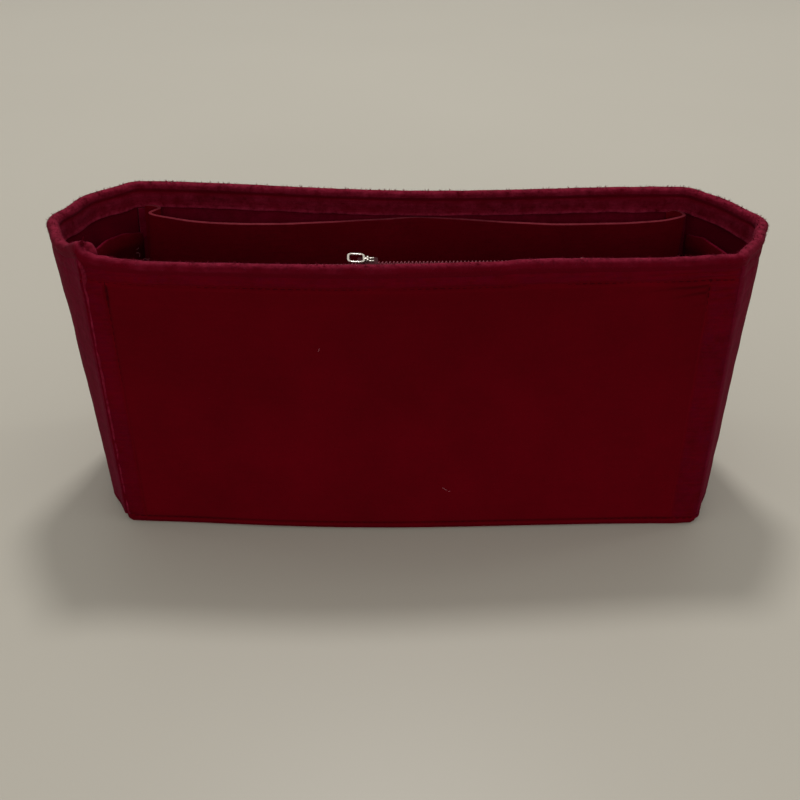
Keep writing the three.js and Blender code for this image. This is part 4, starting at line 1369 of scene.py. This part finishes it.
# %% Sheets
held_as = {
    "front_panel_felt": ("stretched", "front_stiffener"),
    "back_panel_felt": ("stretched", "back_stiffener"),
    "left_gusset_felt": ("stretched", "left_end_lining_felt"),
    "right_gusset_felt": ("stretched", "right_end_lining_felt"),
    "front_lining_felt": ("stretched", "front_stiffener"),
    "back_lining_felt": ("stretched", "back_stiffener"),
    "left_end_lining_felt": ("stretched", "left_gusset_felt"),
    "right_end_lining_felt": ("stretched", "right_gusset_felt"),
    "base_panel_felt": ("laid", "base_stiffener"),
    "base_lining_felt": ("laid", "base_stiffener"),
    "rim_binding_felt": ("folded", "front_panel_felt"),
    "back_pocket_felt": ("hung", "back_lining_felt"),
    "left_end_pocket_felt": ("hung", "left_end_lining_felt"),
    "right_end_pocket_felt": ("hung", "right_end_lining_felt"),
    "zip_pocket_felt": ("hung", "zip_tape_rear_twill"),
}
for name, (held, rests) in held_as.items():
    width, length, area = cuts[name]
    print(name, round(width * 1000), "x", round(length * 1000), "mm flat")

# %% [markdown]
# ## Floor, light and camera
# The floor is plain and pale. Soft lamps stand for the room's lights: one behind, one
# left and one right, and a wide one in front lights the wall that the camera sees. An
# even sky fills in the rest, and shows a plain pale colour to the camera and in
# reflections. The camera stands in front, a little above, and looks down at 29.5 degrees.

# %% Floor and surroundings
bm = bmesh.new()
bmesh.ops.create_grid(bm, x_segments=1, y_segments=1, size=4)
floor = piece("floor", bm)
f = Finish("floor")
floor_colour = f.mix(f.grain(2.2, 3.0), tint(184, 179, 167), tint(192, 187, 175))
floor.data.materials.append(f.close(Base_Color=floor_colour, Roughness=0.42, Specular_IOR_Level=0.35))

world = bpy.data.worlds.new("room")
world.use_nodes = True
scene.world = world
tree = world.node_tree
tree.nodes.clear()


def sky(colour, strength):
    made = tree.nodes.new("ShaderNodeBackground")
    made.inputs[0].default_value, made.inputs[1].default_value = colour, strength
    return made.outputs[0]


rays = tree.nodes.new("ShaderNodeLightPath").outputs
shown = rays["Is Camera Ray"]
for ray in ("Is Glossy Ray", "Is Transmission Ray"):
    either = tree.nodes.new("ShaderNodeMath")
    either.operation = "MAXIMUM"
    tree.links.new(shown, either.inputs[0])
    tree.links.new(rays[ray], either.inputs[1])
    shown = either.outputs[0]
mix = tree.nodes.new("ShaderNodeMixShader")
end_node = tree.nodes.new("ShaderNodeOutputWorld")
parts = (shown, sky(tint(236, 234, 230), 0.55), sky(tint(214, 210, 200), 1.0))
for socket, part in zip(mix.inputs, parts):
    tree.links.new(part, socket)
tree.links.new(mix.outputs[0], end_node.inputs[0])
print("floor and sky ready")


# %% Lamps
def lamp(name, spot, target, size, watts):
    data = bpy.data.lights.new(name, "AREA")
    data.shape, data.size, data.energy, data.color = "DISK", size, watts, (1.0, 0.99, 0.97)
    made = bpy.data.objects.new(name, data)
    made.location = spot
    made.rotation_euler = (Vector(target) - Vector(spot)).to_track_quat("-Z", "Y").to_euler()
    scene.collection.objects.link(made)
    print(name, watts, "W")


lamp("lamp_behind", (0.0, 0.95, 2.0), (0, 0, 0), 0.35, 16.8)
lamp("lamp_front", (0.1, -2.2, 1.1), (0, 0, 0.06), 1.2, 10)
lamp("lamp_left", (-1.9, 0.5, 1.7), (0, 0, 0.06), 0.35, 0.8)
lamp("lamp_right", (1.7, 0.6, 1.7), (0, 0, 0.06), 0.35, 2.2)

# %% Camera
camera_data = bpy.data.cameras.new("camera")
camera_data.sensor_width, camera_data.lens = 36.0, 50.85
camera_data.clip_start, camera_data.clip_end = 0.01, 50
camera = bpy.data.objects.new("camera", camera_data)
pitch, roll, yaw = math.radians(29.49), math.radians(0.48), math.radians(0.86)
ahead = Vector((math.sin(yaw) * math.cos(pitch), math.cos(yaw) * math.cos(pitch), -math.sin(pitch)))
right = Vector((math.cos(yaw), -math.sin(yaw), 0))
upward = right.cross(ahead)
c, s = math.cos(roll), math.sin(roll)
right, upward = right * c + upward * s, upward * c - right * s
camera.matrix_world = Matrix((right, upward, -ahead)).transposed().to_4x4()
camera.location = (-0.00961, -0.474974, 0.3034)
scene.collection.objects.link(camera)
scene.camera = camera
scene.view_settings.view_transform = "Standard"
print("camera", tuple(round(v, 3) for v in camera.location))
